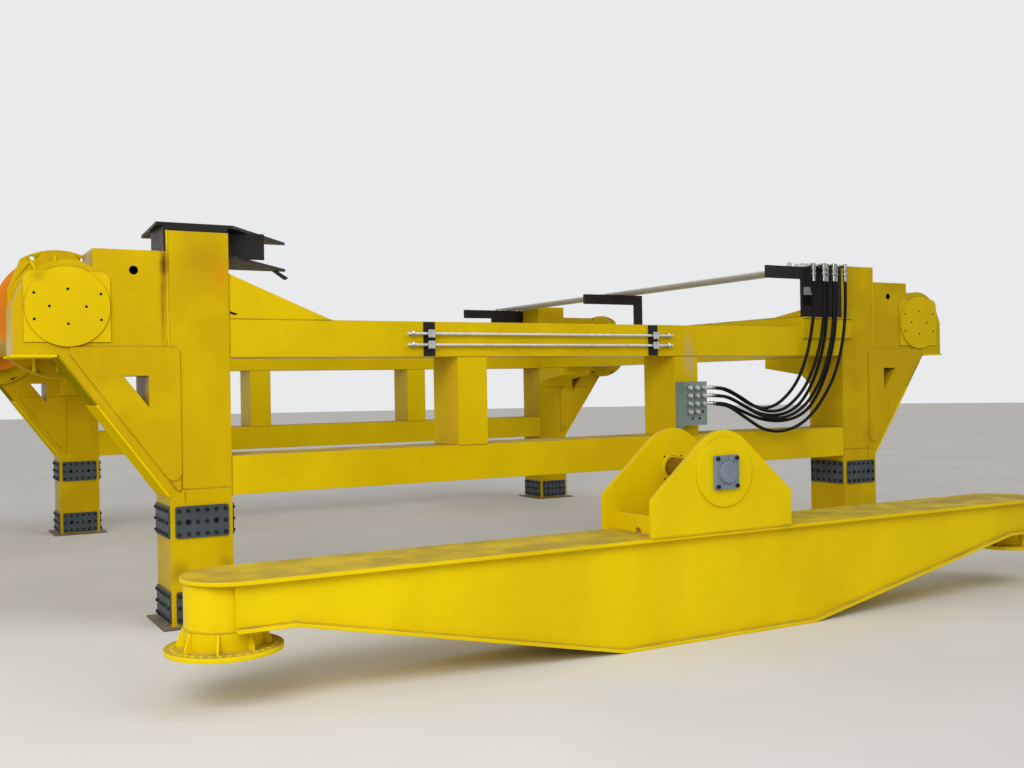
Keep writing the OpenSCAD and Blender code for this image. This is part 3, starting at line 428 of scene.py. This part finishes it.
# Painted shade darkens the undersides of the tubes and of the crimped sleeves below
DRAWN_TUBE = bare_metal("drawn_steel_tube", "#E2E1D9", "#CBCAC0", 0.38, grain=0.02, underside_shade=0.4, metallic=0.15)
ZINC = bare_metal("bright_zinc_plate", "#D5D8D2", "#BDC1BC", 0.28, grain=0.008)
CRIMPED = bare_metal("crimped_zinc_steel", "#A6A8A2", "#7E807B", 0.26, grain=0.01, underside_shade=0.5)
OXIDE = flat_paint("black_oxide_steel", "#17181A", "#232527", 0.4)
BRONZED = bare_metal("turned_bronzed_steel", "#8A7440", "#A58C52", 0.33, stretch=(1, 12, 1), grain=0.03)
MILL_PLATE = mill_plate("hot_rolled_mill_plate")
RUBBER = hose_rubber("wrapped_nitrile_rubber")
HOLE_SHADOW = dark_hole("drilled_hole_shadow")

FINISHES = [
    (ENAMEL, ["upper_beam_front", "upper_beam_rear", "lower_beam_front", "lower_beam_rear", "posts_front",
              "posts_rear", "haunches", "step_boxes", "cross_beam_left", "cross_beam_right", "head_covers",
              "drum_core_left", "drum_core_right", "drum_flanges_right"]),
    (LIT_ENAMEL, ["walking_web", "walking_top_plate", "walking_bottom_plate", "walking_end_tubes",
                     "slewing_flanges", "walking_lugs", "lug_discs"]),
    (SHADED_ENAMEL, ["column_front_left", "column_front_right", "column_rear_left", "column_rear_right",
                   "leg_front_left", "leg_front_right", "leg_rear_left", "leg_rear_right", "wing_front_left",
                   "wing_front_right", "wing_rear_left", "wing_rear_right", "back_plates"]),
    (PRIMER, ["splice_plates"]),
    (SATIN_BLACK, ["right_brackets", "middle_bracket", "pipe_clamps"]),
    (ORANGE, ["drum_flanges_left"]),
    (DRAWN_TUBE, ["cross_pipes", "front_pipes"]),
    (ZINC, ["bulkhead_fittings"]),
    (CRIMPED, ["elbow_fittings"]),
    (BULKHEAD_GREY, ["bulkhead_plate"]),
    (KEEPER_GREY, ["keeper_plate"]),
    (BRONZED, ["pivot_pin"]),
    (MILL_PLATE, ["foot_plates"]),
]
for finish, names in FINISHES:
    for name in names:
        for material_slot in NODES[name].material_slots:
            material_slot.material = finish


# ---------------------------------------------------------------- hoses

HOSE_R = 0.014
# Routes of the six hoses as (X, Z); each hangs in the upright plane of its own elbow
HOSE_ROUTES = [
    [(2.390, 2.400), (2.388, 2.250), (2.378, 2.100), (2.350, 1.950), (2.310, 1.800), (2.250, 1.650),
     (2.165, 1.510), (2.050, 1.395), (1.915, 1.315), (1.765, 1.290), (1.610, 1.335), (1.465, 1.410),
     (1.325, 1.462), (1.180, 1.475)],
    [(2.480, 2.400), (2.478, 2.245), (2.468, 2.090), (2.442, 1.935), (2.398, 1.780), (2.330, 1.625),
     (2.235, 1.475), (2.110, 1.355), (1.960, 1.275), (1.795, 1.265), (1.635, 1.315), (1.480, 1.395),
     (1.330, 1.460), (1.180, 1.475)],
    [(2.550, 2.400), (2.548, 2.240), (2.538, 2.080), (2.515, 1.920), (2.470, 1.760), (2.405, 1.600),
     (2.310, 1.440), (2.190, 1.315), (2.045, 1.245), (1.875, 1.225), (1.700, 1.255), (1.530, 1.330),
     (1.360, 1.395), (1.180, 1.410)],
    [(2.600, 2.400), (2.598, 2.240), (2.588, 2.080), (2.563, 1.920), (2.520, 1.760), (2.455, 1.600),
     (2.360, 1.445), (2.235, 1.315), (2.080, 1.230), (1.900, 1.200), (1.720, 1.230), (1.540, 1.310),
     (1.360, 1.390), (1.180, 1.410)],
    [(2.660, 2.400), (2.658, 2.235), (2.648, 2.070), (2.625, 1.905), (2.580, 1.740), (2.515, 1.575),
     (2.420, 1.410), (2.290, 1.270), (2.125, 1.195), (1.935, 1.175), (1.740, 1.200), (1.550, 1.265),
     (1.365, 1.332), (1.180, 1.345)],
    [(2.740, 2.400), (2.738, 2.230), (2.725, 2.050), (2.695, 1.870), (2.640, 1.690), (2.560, 1.520),
     (2.450, 1.370), (2.310, 1.230), (2.140, 1.130), (1.940, 1.087), (1.740, 1.115), (1.545, 1.215),
     (1.360, 1.314), (1.180, 1.345)],
]
# How far in front of the wall each hose hangs
HOSE_OUT = [0.060, 0.095, 0.060, 0.095, 0.060, 0.095]
# Where every route starts, below its elbow, and ends, beside the bulkhead plate
HOSE_TOP_Z, HOSE_END_X = HOSE_ROUTES[0][0][1], HOSE_ROUTES[0][-1][0]
STEPS_PER_SPAN = 6


def smooth_route(points):
    """Catmull-Rom curve: between two points a cubic whose slope at each is half its neighbours' distance."""
    p = np.array(points, float)
    p = np.concatenate([[2 * p[0] - p[1]], p, [2 * p[-1] - p[-2]]])
    t = (np.arange(STEPS_PER_SPAN) / STEPS_PER_SPAN)[:, None]
    a, b, c, d = (p[k:len(p) - 3 + k, None] for k in range(4))
    curve = 0.5 * (2 * b + (c - a) * t + (2 * a - 5 * b + 4 * c - d) * t ** 2
                   + (3 * b - a - 3 * c + d) * t ** 3)
    return np.concatenate([curve.reshape(-1, p.shape[1]), p[-2:-1]])


def hoses():
    """Each hose follows its route; its length is the sum of the curve's steps."""
    for k, (route, out) in enumerate(zip(HOSE_ROUTES, HOSE_OUT), 1):
        flat = smooth_route(route)
        path = np.column_stack([flat[:, 0], np.full(len(flat), FRONT_Y - out), flat[:, 1]])
        hose = piece(f"hydraulic_hose_{k}", carried(path, HOSE_R, sides=16), RUBBER, crease=60)
        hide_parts(f"hose_{k}")


hoses()


# ---------------------------------------------------------------- bolts and holes

def hex_bolt(across, height):
    """Hexagon head with a chamfered rim on its round washer."""
    r = across / 2 / cos(pi / 6)
    washer = turned([(r * 1.12, 0), (r * 1.12, 0.0025)], 16)
    head = turned([(r, 0.002), (r, height - 0.002), (r * 0.86, height)], 6)
    return joined(washer, head)


def open_hole(radius):
    """Dark mouth of a hole: a shallow lip and the shadow inside it."""
    return turned([(radius * 1.08, -0.001), (radius * 1.08, 0.0006), (radius * 0.9, 0.0012),
                   (radius * 0.9, 0.0004)], 24)


def splice_bolts():
    """Eighteen places on each splice plate, six by three: bolts, but two wide holes in the middle row."""
    bolts, holes = [], []
    plate_t, row_pitch, end_gap, lower_plate_middle = 0.012, 0.076, 0.042, 0.103
    column, row = (grid.ravel() for grid in np.meshgrid(np.arange(6) - 2.5, np.arange(3) - 1))
    is_hole = (row == 0) & (np.abs(column) == 1.5)
    for x, y in CORNERS:
        leg = f"leg_{'front' if y < 0 else 'rear'}_{'left' if x < 0 else 'right'}"
        middle, half = (LOW[leg] + HIGH[leg]) / 2, (HIGH[leg] - LOW[leg]) / 2
        for z in (HIGH[leg][2], LOW["splice_plates"][2] + lower_plate_middle):
            for axis, margin in ((0, 0.015), (1, 0.029)):
                other = 1 - axis
                pitch = (2 * (half[other] - margin) - end_gap) / 5
                for side in (-1, 1):
                    place = np.zeros((18, 3))
                    place[:, axis] = middle[axis] + side * (half[axis] + plate_t)
                    place[:, other] = middle[other] + column * pitch
                    place[:, 2] = z + row * row_pitch
                    out = np.eye(3)[axis] * side
                    bolts.append(repeated(hex_bolt(0.021, 0.012), place[~is_hole], out))
                    holes.append(repeated(open_hole(0.0175), place[is_hole], out))
    piece("splice_bolts", joined(*bolts), OXIDE, crease=30)
    piece("splice_locating_holes", joined(*holes), HOLE_SHADOW)


def cover_holes():
    """Eight drilled holes in each head cover: one above the other on three lines, and two beside the middle."""
    spots = np.array([(x, z) for x in (-0.192, 0.192) for z in (-0.08, 0.08)]
                     + [(0, -0.107), (0, 0.107), (-0.106, 0), (0.106, 0)])
    made = []
    for x, y in CORNERS:
        face = (LOW if y < 0 else HIGH)["head_covers"][1]
        place = np.column_stack([x * DRUM[0] + spots[:, 0], np.full(8, face), DRUM[2] + spots[:, 1]])
        made.append(repeated(open_hole(0.008), place, (0, y, 0)))
    piece("cover_holes", joined(*made), HOLE_SHADOW)


def frame_welds():
    """Beads along the frame's joints, given in a corner's own axes and set in all four corners; those of
    the haunches, the step boxes and the posts stand where their nodes are."""
    w, d, foot_z = HALF_W, HALF_D, HIGH["foot_plates"][2]
    cross_low, cross_top = LOW["cross_beam_left"][2], HIGH["cross_beam_left"][2]
    wedge_low, wedge_end, haunch_end = cross_top - 0.078, -d - 0.555, -d - 0.598
    doubler_w, doubler_h, cut = 0.25, 0.218, 0.06
    doubler = np.array([(-doubler_w, -doubler_h), (doubler_w, -doubler_h), (doubler_w, doubler_h - cut),
                        (doubler_w - cut, doubler_h), (cut - doubler_w, doubler_h),
                        (-doubler_w, doubler_h - cut), (-doubler_w, -doubler_h)])
    paths = [
        # Shoulder and foot of the wing on the column
        [(w, d, SHOULDER_TOP), (w, d, WING_PLATE_TOP)], [(w, -d, SHOULDER_TOP), (w, d, SHOULDER_TOP)],
        [(w, d, DIAGONAL_LOW), (w, -d, DIAGONAL_LOW)],
        # Upper and lower beam on the column: up the face, then along the corners above and below
        [(-w, d, BEAM_LOW), (-w, d, BEAM_TOP)], [(-w, d, SILL_LOW), (-w, d, SILL_TOP)],
        [(-w, -d, BEAM_LOW), (-w, d, BEAM_LOW)], [(-w, -d, SILL_TOP), (-w, d, SILL_TOP)],
        [(-w, -d, SILL_LOW), (-w, d, SILL_LOW)],
        # Cross beam, its wedge and its haunch on the column's inner face
        [(-w, -d, cross_low), (-w, -d, cross_top), (w, -d, cross_top), (w, -d, cross_low), (-w, -d, cross_low)],
        [(-w, -d, wedge_low), (-w, wedge_end, wedge_low)], [(w, -d, wedge_low), (w, wedge_end, wedge_low)],
        [(-w, -d, BEAM_LOW), (-w, haunch_end, BEAM_LOW)], [(w, -d, BEAM_LOW), (w, haunch_end, BEAM_LOW)],
        # Butt seams in the column's face
        [(0.12, d, 0.89), (-0.192, d, 0.89)], [(0.1045, d, 0.801), (0.1045, d, 0.875)],
        # Head on the plate behind it, its cover and the cover's doubler
        circle((DRUM_OUT, -d, DRUM[2]), HEAD_R, turn=(33, 160)), circle((DRUM_OUT, d + 0.01, DRUM[2]), 0.246),
        np.column_stack([DRUM_OUT + doubler[:, 0], np.full(7, d), DRUM[2] + doubler[:, 1]]),
        # Foot plate round the leg
        [(-w, -d, foot_z), (w, -d, foot_z), (w, d, foot_z), (-w, d, foot_z), (-w, -d, foot_z)]]
    beads = [in_corners(bead(path)) for path in paths]
    beads += [in_corners(bead(path, 0.0055)) for path in wing_plate_edges()]
    for y in (-1, 1):
        face = FRONT_Y if y < 0 else REAR_Y
        wall = face - y * HALF_D
        low, high = LOW["haunches"], HIGH["haunches"]
        beads += [bead([(low[0], face, low[2]), (high[0], face, low[2])]),
                  bead([(low[0], face, low[2]), (low[0], face, high[2])])]
        low, high, step_face = LOW["step_boxes"], HIGH["step_boxes"], face + y * 0.010
        for z in (BEAM_TOP - 0.1, high[2] - 0.012):
            beads.append(bead([(low[0], step_face, z), (high[0], step_face, z)], 0.005))
        low, high, post_w = LOW["posts_front"], HIGH["posts_front"], 0.24
        for x in (low[0], high[0] - post_w):
            for z in (SILL_TOP, BEAM_LOW):
                ring = [(x, wall - HALF_D, z), (x + post_w, wall - HALF_D, z), (x + post_w, wall + HALF_D, z),
                        (x, wall + HALF_D, z), (x, wall - HALF_D, z)]
                beads.append(bead(ring))
    piece("frame_welds", joined(*beads), SEAM_SHADE_AND_DIRT, crease=60)


def wing_plate_edges():
    """Edges of the wings' outer and inner plates: two straight runs and the slanting one between round
    corners, inset from the diagonal's own edge, whose height is slope * x above the foot. The plates lap
    onto the column."""
    slope, inset, lap, r = (HEAD_LOW - DIAGONAL_LOW) / DIAGONAL_REACH, 0.07, 0.075, 0.05
    inner = HALF_W - lap
    foot = DIAGONAL_LOW + (inset - lap) * slope
    for y, top in ((HALF_D, WING_PLATE_TOP), (-HALF_D, LOW["cross_beam_left"][2] - 0.015)):
        end = min(DIAGONAL_REACH, (top - DIAGONAL_LOW) / slope) - inset
        low = [(inner + r * 1.25, y, foot + r * 1.75), (HALF_W + end, y, DIAGONAL_LOW + (end + inset) * slope)]
        up = [(inner, y, foot + r * 1.1), (inner, y, top - r)]
        round_top = circle((inner + r, y, top - r), r, turn=(180, 90), steps=8)
        across = [(inner + r, y, top), (HALF_W + end, y, top)]
        round_foot = [up[0], (inner + 0.006, y, foot + 0.034), (inner + 0.026, y, foot + 0.040),
                      (inner + 0.046, y, foot + 0.062), low[0]]
        yield from (low, up, round_top, across, round_foot)


def walking_beam_welds():
    """Beads along the walking beam's joints, to both sides of its middle; the long ones stop 55 mm short of
    the end tubes."""
    x, y = WALKING[:2]
    plate_t, half_web, half_lug = 0.02, 0.22, 0.535
    tube_x, tube_r, tube_top = 2.925, 0.19, 0.405
    end, knee, belly_x = tube_x - tube_r - 0.055, 2.64, 0.73
    beads = []
    for side in (-1, 1):
        web, under = y + side * half_web, WALKING_TOP - plate_t
        belly = [(-end, tube_top), (-knee, tube_top), (-belly_x, plate_t), (belly_x, plate_t),
                 (knee, tube_top), (end, tube_top)]
        beads += [bead([(x - end, web, under), (x + end, web, under)], 0.006),
                  bead([(x + a, web, z) for a, z in belly], 0.006)]
        for face in (y + side * LUG_INNER, y + side * LUG_OUTER):
            beads.append(bead([(x - half_lug, face, WALKING_TOP), (x + half_lug, face, WALKING_TOP)], 0.006))
        beads += [bead(circle((x, y + side * LUG_OUTER, PIN[2]), 0.208), 0.004),
                  bead(circle((x + side * tube_x, y, 0.29), tube_r, axis=2), 0.006),
                  bead(circle((x + side * tube_x, y, 0.385), tube_r, axis=2), 0.005)]
    piece("walking_beam_welds", joined(*beads), CLEAN_SEAM_SHADE, "walking_beam", crease=60)


def wing_flanges():
    """Bottom plates of the wings: under the diagonal, with a butt seam a third of the way down, and under
    the head; they stand 6 mm proud of the wing's faces. Gussets stiffen the plate behind the head."""
    d, plate_t, half_gusset = HALF_D + 0.006, 0.012, 0.006
    under_head = [(HALF_W + 0.65, HEAD_LOW - 0.014), (HALF_W + 0.926, HEAD_LOW - 0.014),
                  (HALF_W + 0.926, HEAD_LOW), (HALF_W + 0.65, HEAD_LOW)]
    knee, foot = np.array([HALF_W + DIAGONAL_REACH, HEAD_LOW]), np.array([HALF_W, DIAGONAL_LOW])
    run = knee - foot
    out = np.array([run[1], -run[0]]) / np.linalg.norm(run) * plate_t
    seam, gap = foot + run * 0.66, run * 0.002
    # The plate's upper third is painted olive: painted shade
    thin = slab([seam, knee, knee + out * 0.7, seam + out * 0.7], -d, d)
    piece("wing_flanges_upper", in_corners(thin), SHADED_UPPER_ENAMEL, crease=30)
    shapes = [slab([foot, seam - gap, seam - gap + out, foot + out], -d, d), slab(under_head, -d, d)]
    for turn in (5, 29):
        a = radians(turn)
        along, side = np.array([sin(a), cos(a)]), np.array([cos(a), -sin(a)]) * half_gusset
        low, high = (np.array([DRUM_OUT, DRUM[2]]) + along * r for r in (HEAD_R, HEAD_R + 0.06))
        shapes.append(slab([low - side, low + side, high + side, high - side], -HALF_D, -HALF_D + 0.09))
    for x in (DRUM_OUT + 0.02, DRUM_OUT + 0.16):
        low, high = HEAD_LOW - 0.1, HEAD_LOW
        shapes.append(slab([(x - half_gusset, low), (x + half_gusset, low), (x + half_gusset, high),
                            (x - half_gusset, high)], -HALF_D, -HALF_D + 0.08))
    # The bottom plates are painted lighter: painted light on the undersides
    piece("wing_flanges", in_corners(joined(*shapes)), LIT_UNDERSIDE_ENAMEL, crease=30)
    # Front plate of the column, bent round at its outer edge and standing a little proud of the wing
    heights = np.linspace(HEAD_LOW + 0.05, COLUMN_TOP, 9)
    edge = carried([(HALF_W - 0.005, HALF_D, z) for z in heights], 0.007, 10)
    piece("column_edges", in_corners(outward(edge)), ENAMEL, crease=60)


def pivot_details():
    """Round end of the pin on its keeper, four bolts and a locking bar, and the hub round the far hole."""
    x, z = PIN[[0, 2]]
    front, far = LOW["keeper_plate"][1], WALKING[1] + LUG_INNER
    end = repeated(turned([(0.0645, -0.002), (0.0645, 0.016), (0.0600, 0.0205), (0.004, 0.0210),
                           (0.003, 0.0185)], 64), [(x, front, z)], (0, -1, 0))
    bar = block((x + 0.012, front - 0.008, z + 0.062), (x + 0.040, front, z + 0.104))
    piece("pin_end", joined(end, bar), KEEPER_GREY, "walking_beam", crease=30)
    spots = [(x + a * 0.073, front, z + b * 0.083) for a in (-1, 1) for b in (-1, 1)]
    cap = turned([(0.0125, 0), (0.0125, 0.010), (0.0112, 0.012), (0.0065, 0.012), (0.006, 0.006)], 24)
    piece("keeper_bolts", repeated(cap, spots, (0, -1, 0)), OXIDE, "walking_beam", crease=30)
    hub = joined(*[outward(carried(circle((x, far, z), r), 0.005, 8, (0, 1, 0))) for r in (0.080, 0.068)])
    piece("pin_hub_ring", hub, LIT_ENAMEL, "walking_beam")
    spots = [(x + a * 0.066, far, z + b * 0.070) for a in (-1, 1) for b in (-1, 1)]
    piece("lug_grease_holes", repeated(open_hole(0.006), spots, (0, -1, 0)), HOLE_SHADOW,
          "walking_beam")


def pipe_details():
    """Nuts and crimped sleeves on the hoses' ends, zinc caps and bolts on the pipe clamps, and the nuts at
    the ends of the front beam pipes."""
    nut = turned([(0.0195, 0), (0.0208, 0.002), (0.0208, 0.020), (0.0195, 0.022)], 6)
    crimps = [(0.0150, 0), (0.0165, 0.002), (0.0165, 0.012), (0.0156, 0.014), (0.0165, 0.016), (0.0165, 0.028)]
    short = turned(crimps + [(0.0150, 0.030)], 20)
    sleeve = turned(crimps + [(0.0156, 0.030), (0.0165, 0.032), (0.0165, 0.046), (0.0150, 0.050)], 20)
    tops = [(route[0][0], FRONT_Y - out) for route, out in zip(HOSE_ROUTES, HOSE_OUT)]
    feet = [(HOSE_END_X + 0.032, FRONT_Y - out, route[-1][1]) for route, out in zip(HOSE_ROUTES, HOSE_OUT)]
    crimped = [repeated(sleeve, [(x, y, HOSE_TOP_Z - 0.002) for x, y in tops]),
               repeated(short, feet, (-1, 0, 0)),
               repeated(nut, [(x, y, PIPE_Z - 0.046) for x, y in tops]),
               repeated(nut, [(x, y, HOSE_TOP_Z + 0.052) for x, y in tops])]
    piece("hose_sleeves", joined(*crimped), CRIMPED, crease=30)
    made = [repeated(nut, [(x, FRONT_Y - 0.018, PIPE_Z) for x, _ in tops], (0, -1, 0))]
    low, high, pipe_r = LOW["front_pipes"], HIGH["front_pipes"], 0.011
    middle_y, heights = (low[1] + high[1]) / 2, (low[2] + pipe_r, high[2] - pipe_r)
    ends = [(high[0] - 0.05, middle_y, z) for z in heights] + [(low[0] + 0.028, middle_y, z) for z in heights]
    made.append(repeated(nut, ends, (1, 0, 0)))
    front, cap_w, cap_h, cap_t = LOW["pipe_clamps"][1], 0.027, 0.028, 0.006
    for x in (LOW["pipe_clamps"][0] + 0.045, HIGH["pipe_clamps"][0] - 0.045):
        for z in heights:
            made.append(block((x - cap_w, front - cap_t, z - cap_h), (x + cap_w, front, z + cap_h)))
            made.append(repeated(hex_bolt(0.014, 0.009), [(x, front - cap_t, z + k * 0.018) for k in (-1, 1)],
                                 (0, -1, 0)))
    piece("pipe_nuts_and_caps", joined(*made), ZINC, crease=30)


def bracket_details():
    """Clamps that hold the cross pipes on the front right bracket, and the grey gland plate beside its
    panel with a square opening."""
    made = []
    for k, route in enumerate(HOSE_ROUTES):
        # One clamp over the bracket's arm and a taller one a quarter of a metre behind it
        for y, half, low, top in ((FRONT_Y + 0.004, 0.022, PIPE_Z - 0.005, PIPE_Z + 0.018),
                                  (FRONT_Y + 0.225, 0.017, PIPE_Z + 0.010, PIPE_Z + (0.052, 0.044)[k % 2])):
            x = route[0][0]
            made.append(block((x - half, y, low), (x + half, y + 0.030, top)))
            made.append(repeated(hex_bolt(0.011, 0.007), [(x, y + 0.015, top)]))
    piece("cross_pipe_clamps", joined(*made), ZINC, crease=30)
    # Left edge, front and foot of the gland plate, a bent trapezium above the opening
    x, y, z = LOW["step_boxes"][0] + 0.022, FRONT_Y - 0.012, 2.28
    plate = slab([(x, z), (x + 0.09, z), (x + 0.07, z + 0.07), (x + 0.008, z + 0.07)], y, FRONT_Y + 0.001)
    piece("gland_plate", plate, LIGHT_GREY, crease=30)
    # The opening is a near-black block: painted shadow inside it
    piece("gland_opening", block((x, y, z - 0.085), (x + 0.09, FRONT_Y + 0.001, z - 0.002)), HOLE_SHADOW,
          crease=30)


def bulkhead_details():
    """Hexagon lock nuts in front of the bulkhead plate, with a round collar on each, and three spare holes."""
    low, high = LOW["bulkhead_plate"], HIGH["bulkhead_plate"]
    middle, first, pitch_x, pitch_z = (low[0] + high[0]) / 2, high[2] - 0.247, 0.072, 0.065
    nut = turned([(0.0215, 0), (0.0235, 0.002), (0.0235, 0.022), (0.0210, 0.025)], 6)
    collar = turned([(0.0175, 0.024), (0.0185, 0.026), (0.0185, 0.034), (0.0165, 0.037)], 20)
    rows = [(c, r) for r in range(4) for c in (-1, 0, 1) if (c, r) != (1, 0)]
    spots = [(middle + c * pitch_x, low[1], first + r * pitch_z) for c, r in rows]
    piece("bulkhead_nuts", joined(repeated(nut, spots, (0, -1, 0)), repeated(collar, spots, (0, -1, 0))), ZINC,
          crease=30)
    spare = [(middle + pitch_x, low[1], first)] + [(middle + side * pitch_x / 2, low[1], first - 0.055)
                                                   for side in (-1, 1)]
    piece("bulkhead_spare_holes", repeated(open_hole(0.010), spare, (0, -1, 0)), HOLE_SHADOW)


def left_bracket():
    """Brackets on the left columns: two plates one above the other whose free edge runs back at a slant,
    the web between them, a cheek on the column's outer face, a packing on its top and a bent flap."""
    w, near, far, plate_t = HALF_W, HALF_D - 0.017, -0.506, 0.020
    top, low = HIGH["left_brackets"][2], HIGH["left_brackets"][2] - 0.217
    under, slant = top - plate_t, [(-w - 0.039, near), (-0.814, far)]
    flap = [(-0.712, low), (-0.732, low), (-0.816, low - 0.050), (-0.804, low - 0.062)]
    shapes = [slab([(0.258, near), *slant, (0.215, far)], under, top, axis=2),
              slab([(-w, near), *slant, (-w, far)], low, low + plate_t, axis=2),
              block((-w - 0.301, -0.010, low + plate_t), (-w, 0.010, under)),
              block((w, -near, 2.42), (w + 0.012, near, under)),
              block((-w, -near, COLUMN_TOP), (w, near, under)),
              slab(flap, far, far + 0.06)]
    made = piece("left_bracket_plates", in_corners(joined(*shapes), [(-1, -1), (-1, 1)]), SATIN_BLACK,
                 crease=30)
    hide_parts("left_brackets")


def drilled_holes():
    """Small holes: one with a ring in each column inside the wing's window, one under each cover, painted
    shadow in the drain gap beside each upper beam, and near-black linings painting the shade in the lifting
    holes."""
    y, z = -0.02, 1.535
    ring = circle((HALF_W + 0.002, y, z), 0.028, axis=0, steps=32)
    hole = repeated(open_hole(0.014), [(HALF_W, y, z)], (1, 0, 0))
    piece("window_rings", in_corners(outward(carried(ring, 0.005, 8, (1, 0, 0)))), SEAM_SHADE_AND_DIRT)
    small = repeated(open_hole(0.006), [(HALF_W + 0.395, HALF_D, HEAD_LOW - 0.16)], (0, 1, 0))
    x, z = -HALF_W, BEAM_TOP + 0.038
    gap = slab([(x, z + 0.012), (x, z - 0.004), (x - 0.028, z - 0.014), (x - 0.052, z - 0.012),
                (x - 0.050, z - 0.004)], HALF_D - 0.004, HALF_D + 0.0008)
    lifting = repeated(lining(0.0285, 0.0262, 2 * HALF_D - 0.004),
                       [(HALF_W + 0.202, 0, SHOULDER_TOP - 0.129)], (0, 1, 0))
    piece("window_holes", in_corners(joined(hole, small, gap)), HOLE_SHADOW)
    piece("lifting_hole_painted_shade", in_corners(outward(lifting)), HOLE_SHADOW)


def soften_edges():
    """Ground and painted plate edges: loose triangles welded, then a 3 mm round on all sharp edges."""
    painted = (ENAMEL, SHADED_ENAMEL, LIT_ENAMEL, PRIMER, SATIN_BLACK, KEEPER_GREY)
    for name in [name for finish, names in FINISHES if finish in painted for name in names]:
        weld = NODES[name].modifiers.new("closed", "WELD")
        weld.merge_threshold = 0.00002
        rounding = NODES[name].modifiers.new("paint_radius", "BEVEL")
        rounding.width, rounding.segments, rounding.angle_limit = 0.003, 2, radians(50)
        rounding.limit_method, rounding.harden_normals = "ANGLE", False


splice_bolts()
cover_holes()
frame_welds()
walking_beam_welds()
wing_flanges()
pivot_details()
pipe_details()
bracket_details()
bulkhead_details()
left_bracket()
drilled_holes()
soften_edges()


# ---------------------------------------------------------------- floor and light

def floor():
    """Round plain floor, pale matt concrete with the faintest clouds; dust leaves it no gloss."""
    tree, place, close = new_material("pale_concrete_floor")
    shade = coat(tree, "#DCDAD6", "#D6D4D0", clouds(tree, place, 1.5, detail=5))[0]
    close(shade, 1.0, Specular_IOR_Level=0.1)
    points, tris = turned([(60, -0.02), (60, 0)], 64)
    mesh = bpy.data.meshes.new("floor")
    mesh.from_pydata(points.tolist(), [], tris.tolist())
    mesh.materials.append(bpy.data.materials["pale_concrete_floor"])
    made = bpy.data.objects.new("floor", mesh)
    bpy.context.scene.collection.objects.link(made)


def lights():
    """Wide soft lamp at the front left, so that the light falls off to the right as in the photograph, a
    weak sun from behind and an even sky, which the camera and the gloss see as a pale backdrop."""
    lamp = bpy.data.lights.new("window", "AREA")
    lamp.shape, lamp.size, lamp.size_y, lamp.energy = "RECTANGLE", 6.0, 4.5, 525
    sun = bpy.data.lights.new("back", "SUN")
    sun.energy, sun.angle = 0.55, radians(40)
    for light, place, direction in ((lamp, (-7.5, -8.5, 5.5), (0.60, 0.74, -0.38)),
                                    (sun, (0, 0, 0), (-0.5, 0.7, -0.9))):
        made = bpy.data.objects.new(light.name, light)
        made.rotation_euler = Matrix(towards([-d for d in direction]).tolist()).to_euler()
        made.location = place
        bpy.context.scene.collection.objects.link(made)
    world = bpy.data.worlds.new("studio")
    world.use_nodes = True
    tree = world.node_tree
    tree.nodes.clear()
    ray = add(tree, "LightPath")
    seen = add(tree, "Math", {0: ray.outputs["Is Camera Ray"], 1: ray.outputs["Is Glossy Ray"]},
               operation="MAXIMUM").outputs[0]
    sky = add(tree, "Background", {"Color": "#FFFFFF", "Strength": 0.50})
    shown = add(tree, "Background", {"Color": "#E9EAEB", "Strength": 1.0})
    both = add(tree, "MixShader", {0: seen, 1: sky.outputs[0], 2: shown.outputs[0]})
    tree.links.new(both.outputs[0], add(tree, "OutputWorld").inputs["Surface"])
    bpy.context.scene.world = world


floor()
lights()
bpy.context.scene.view_settings.view_transform = "Standard"
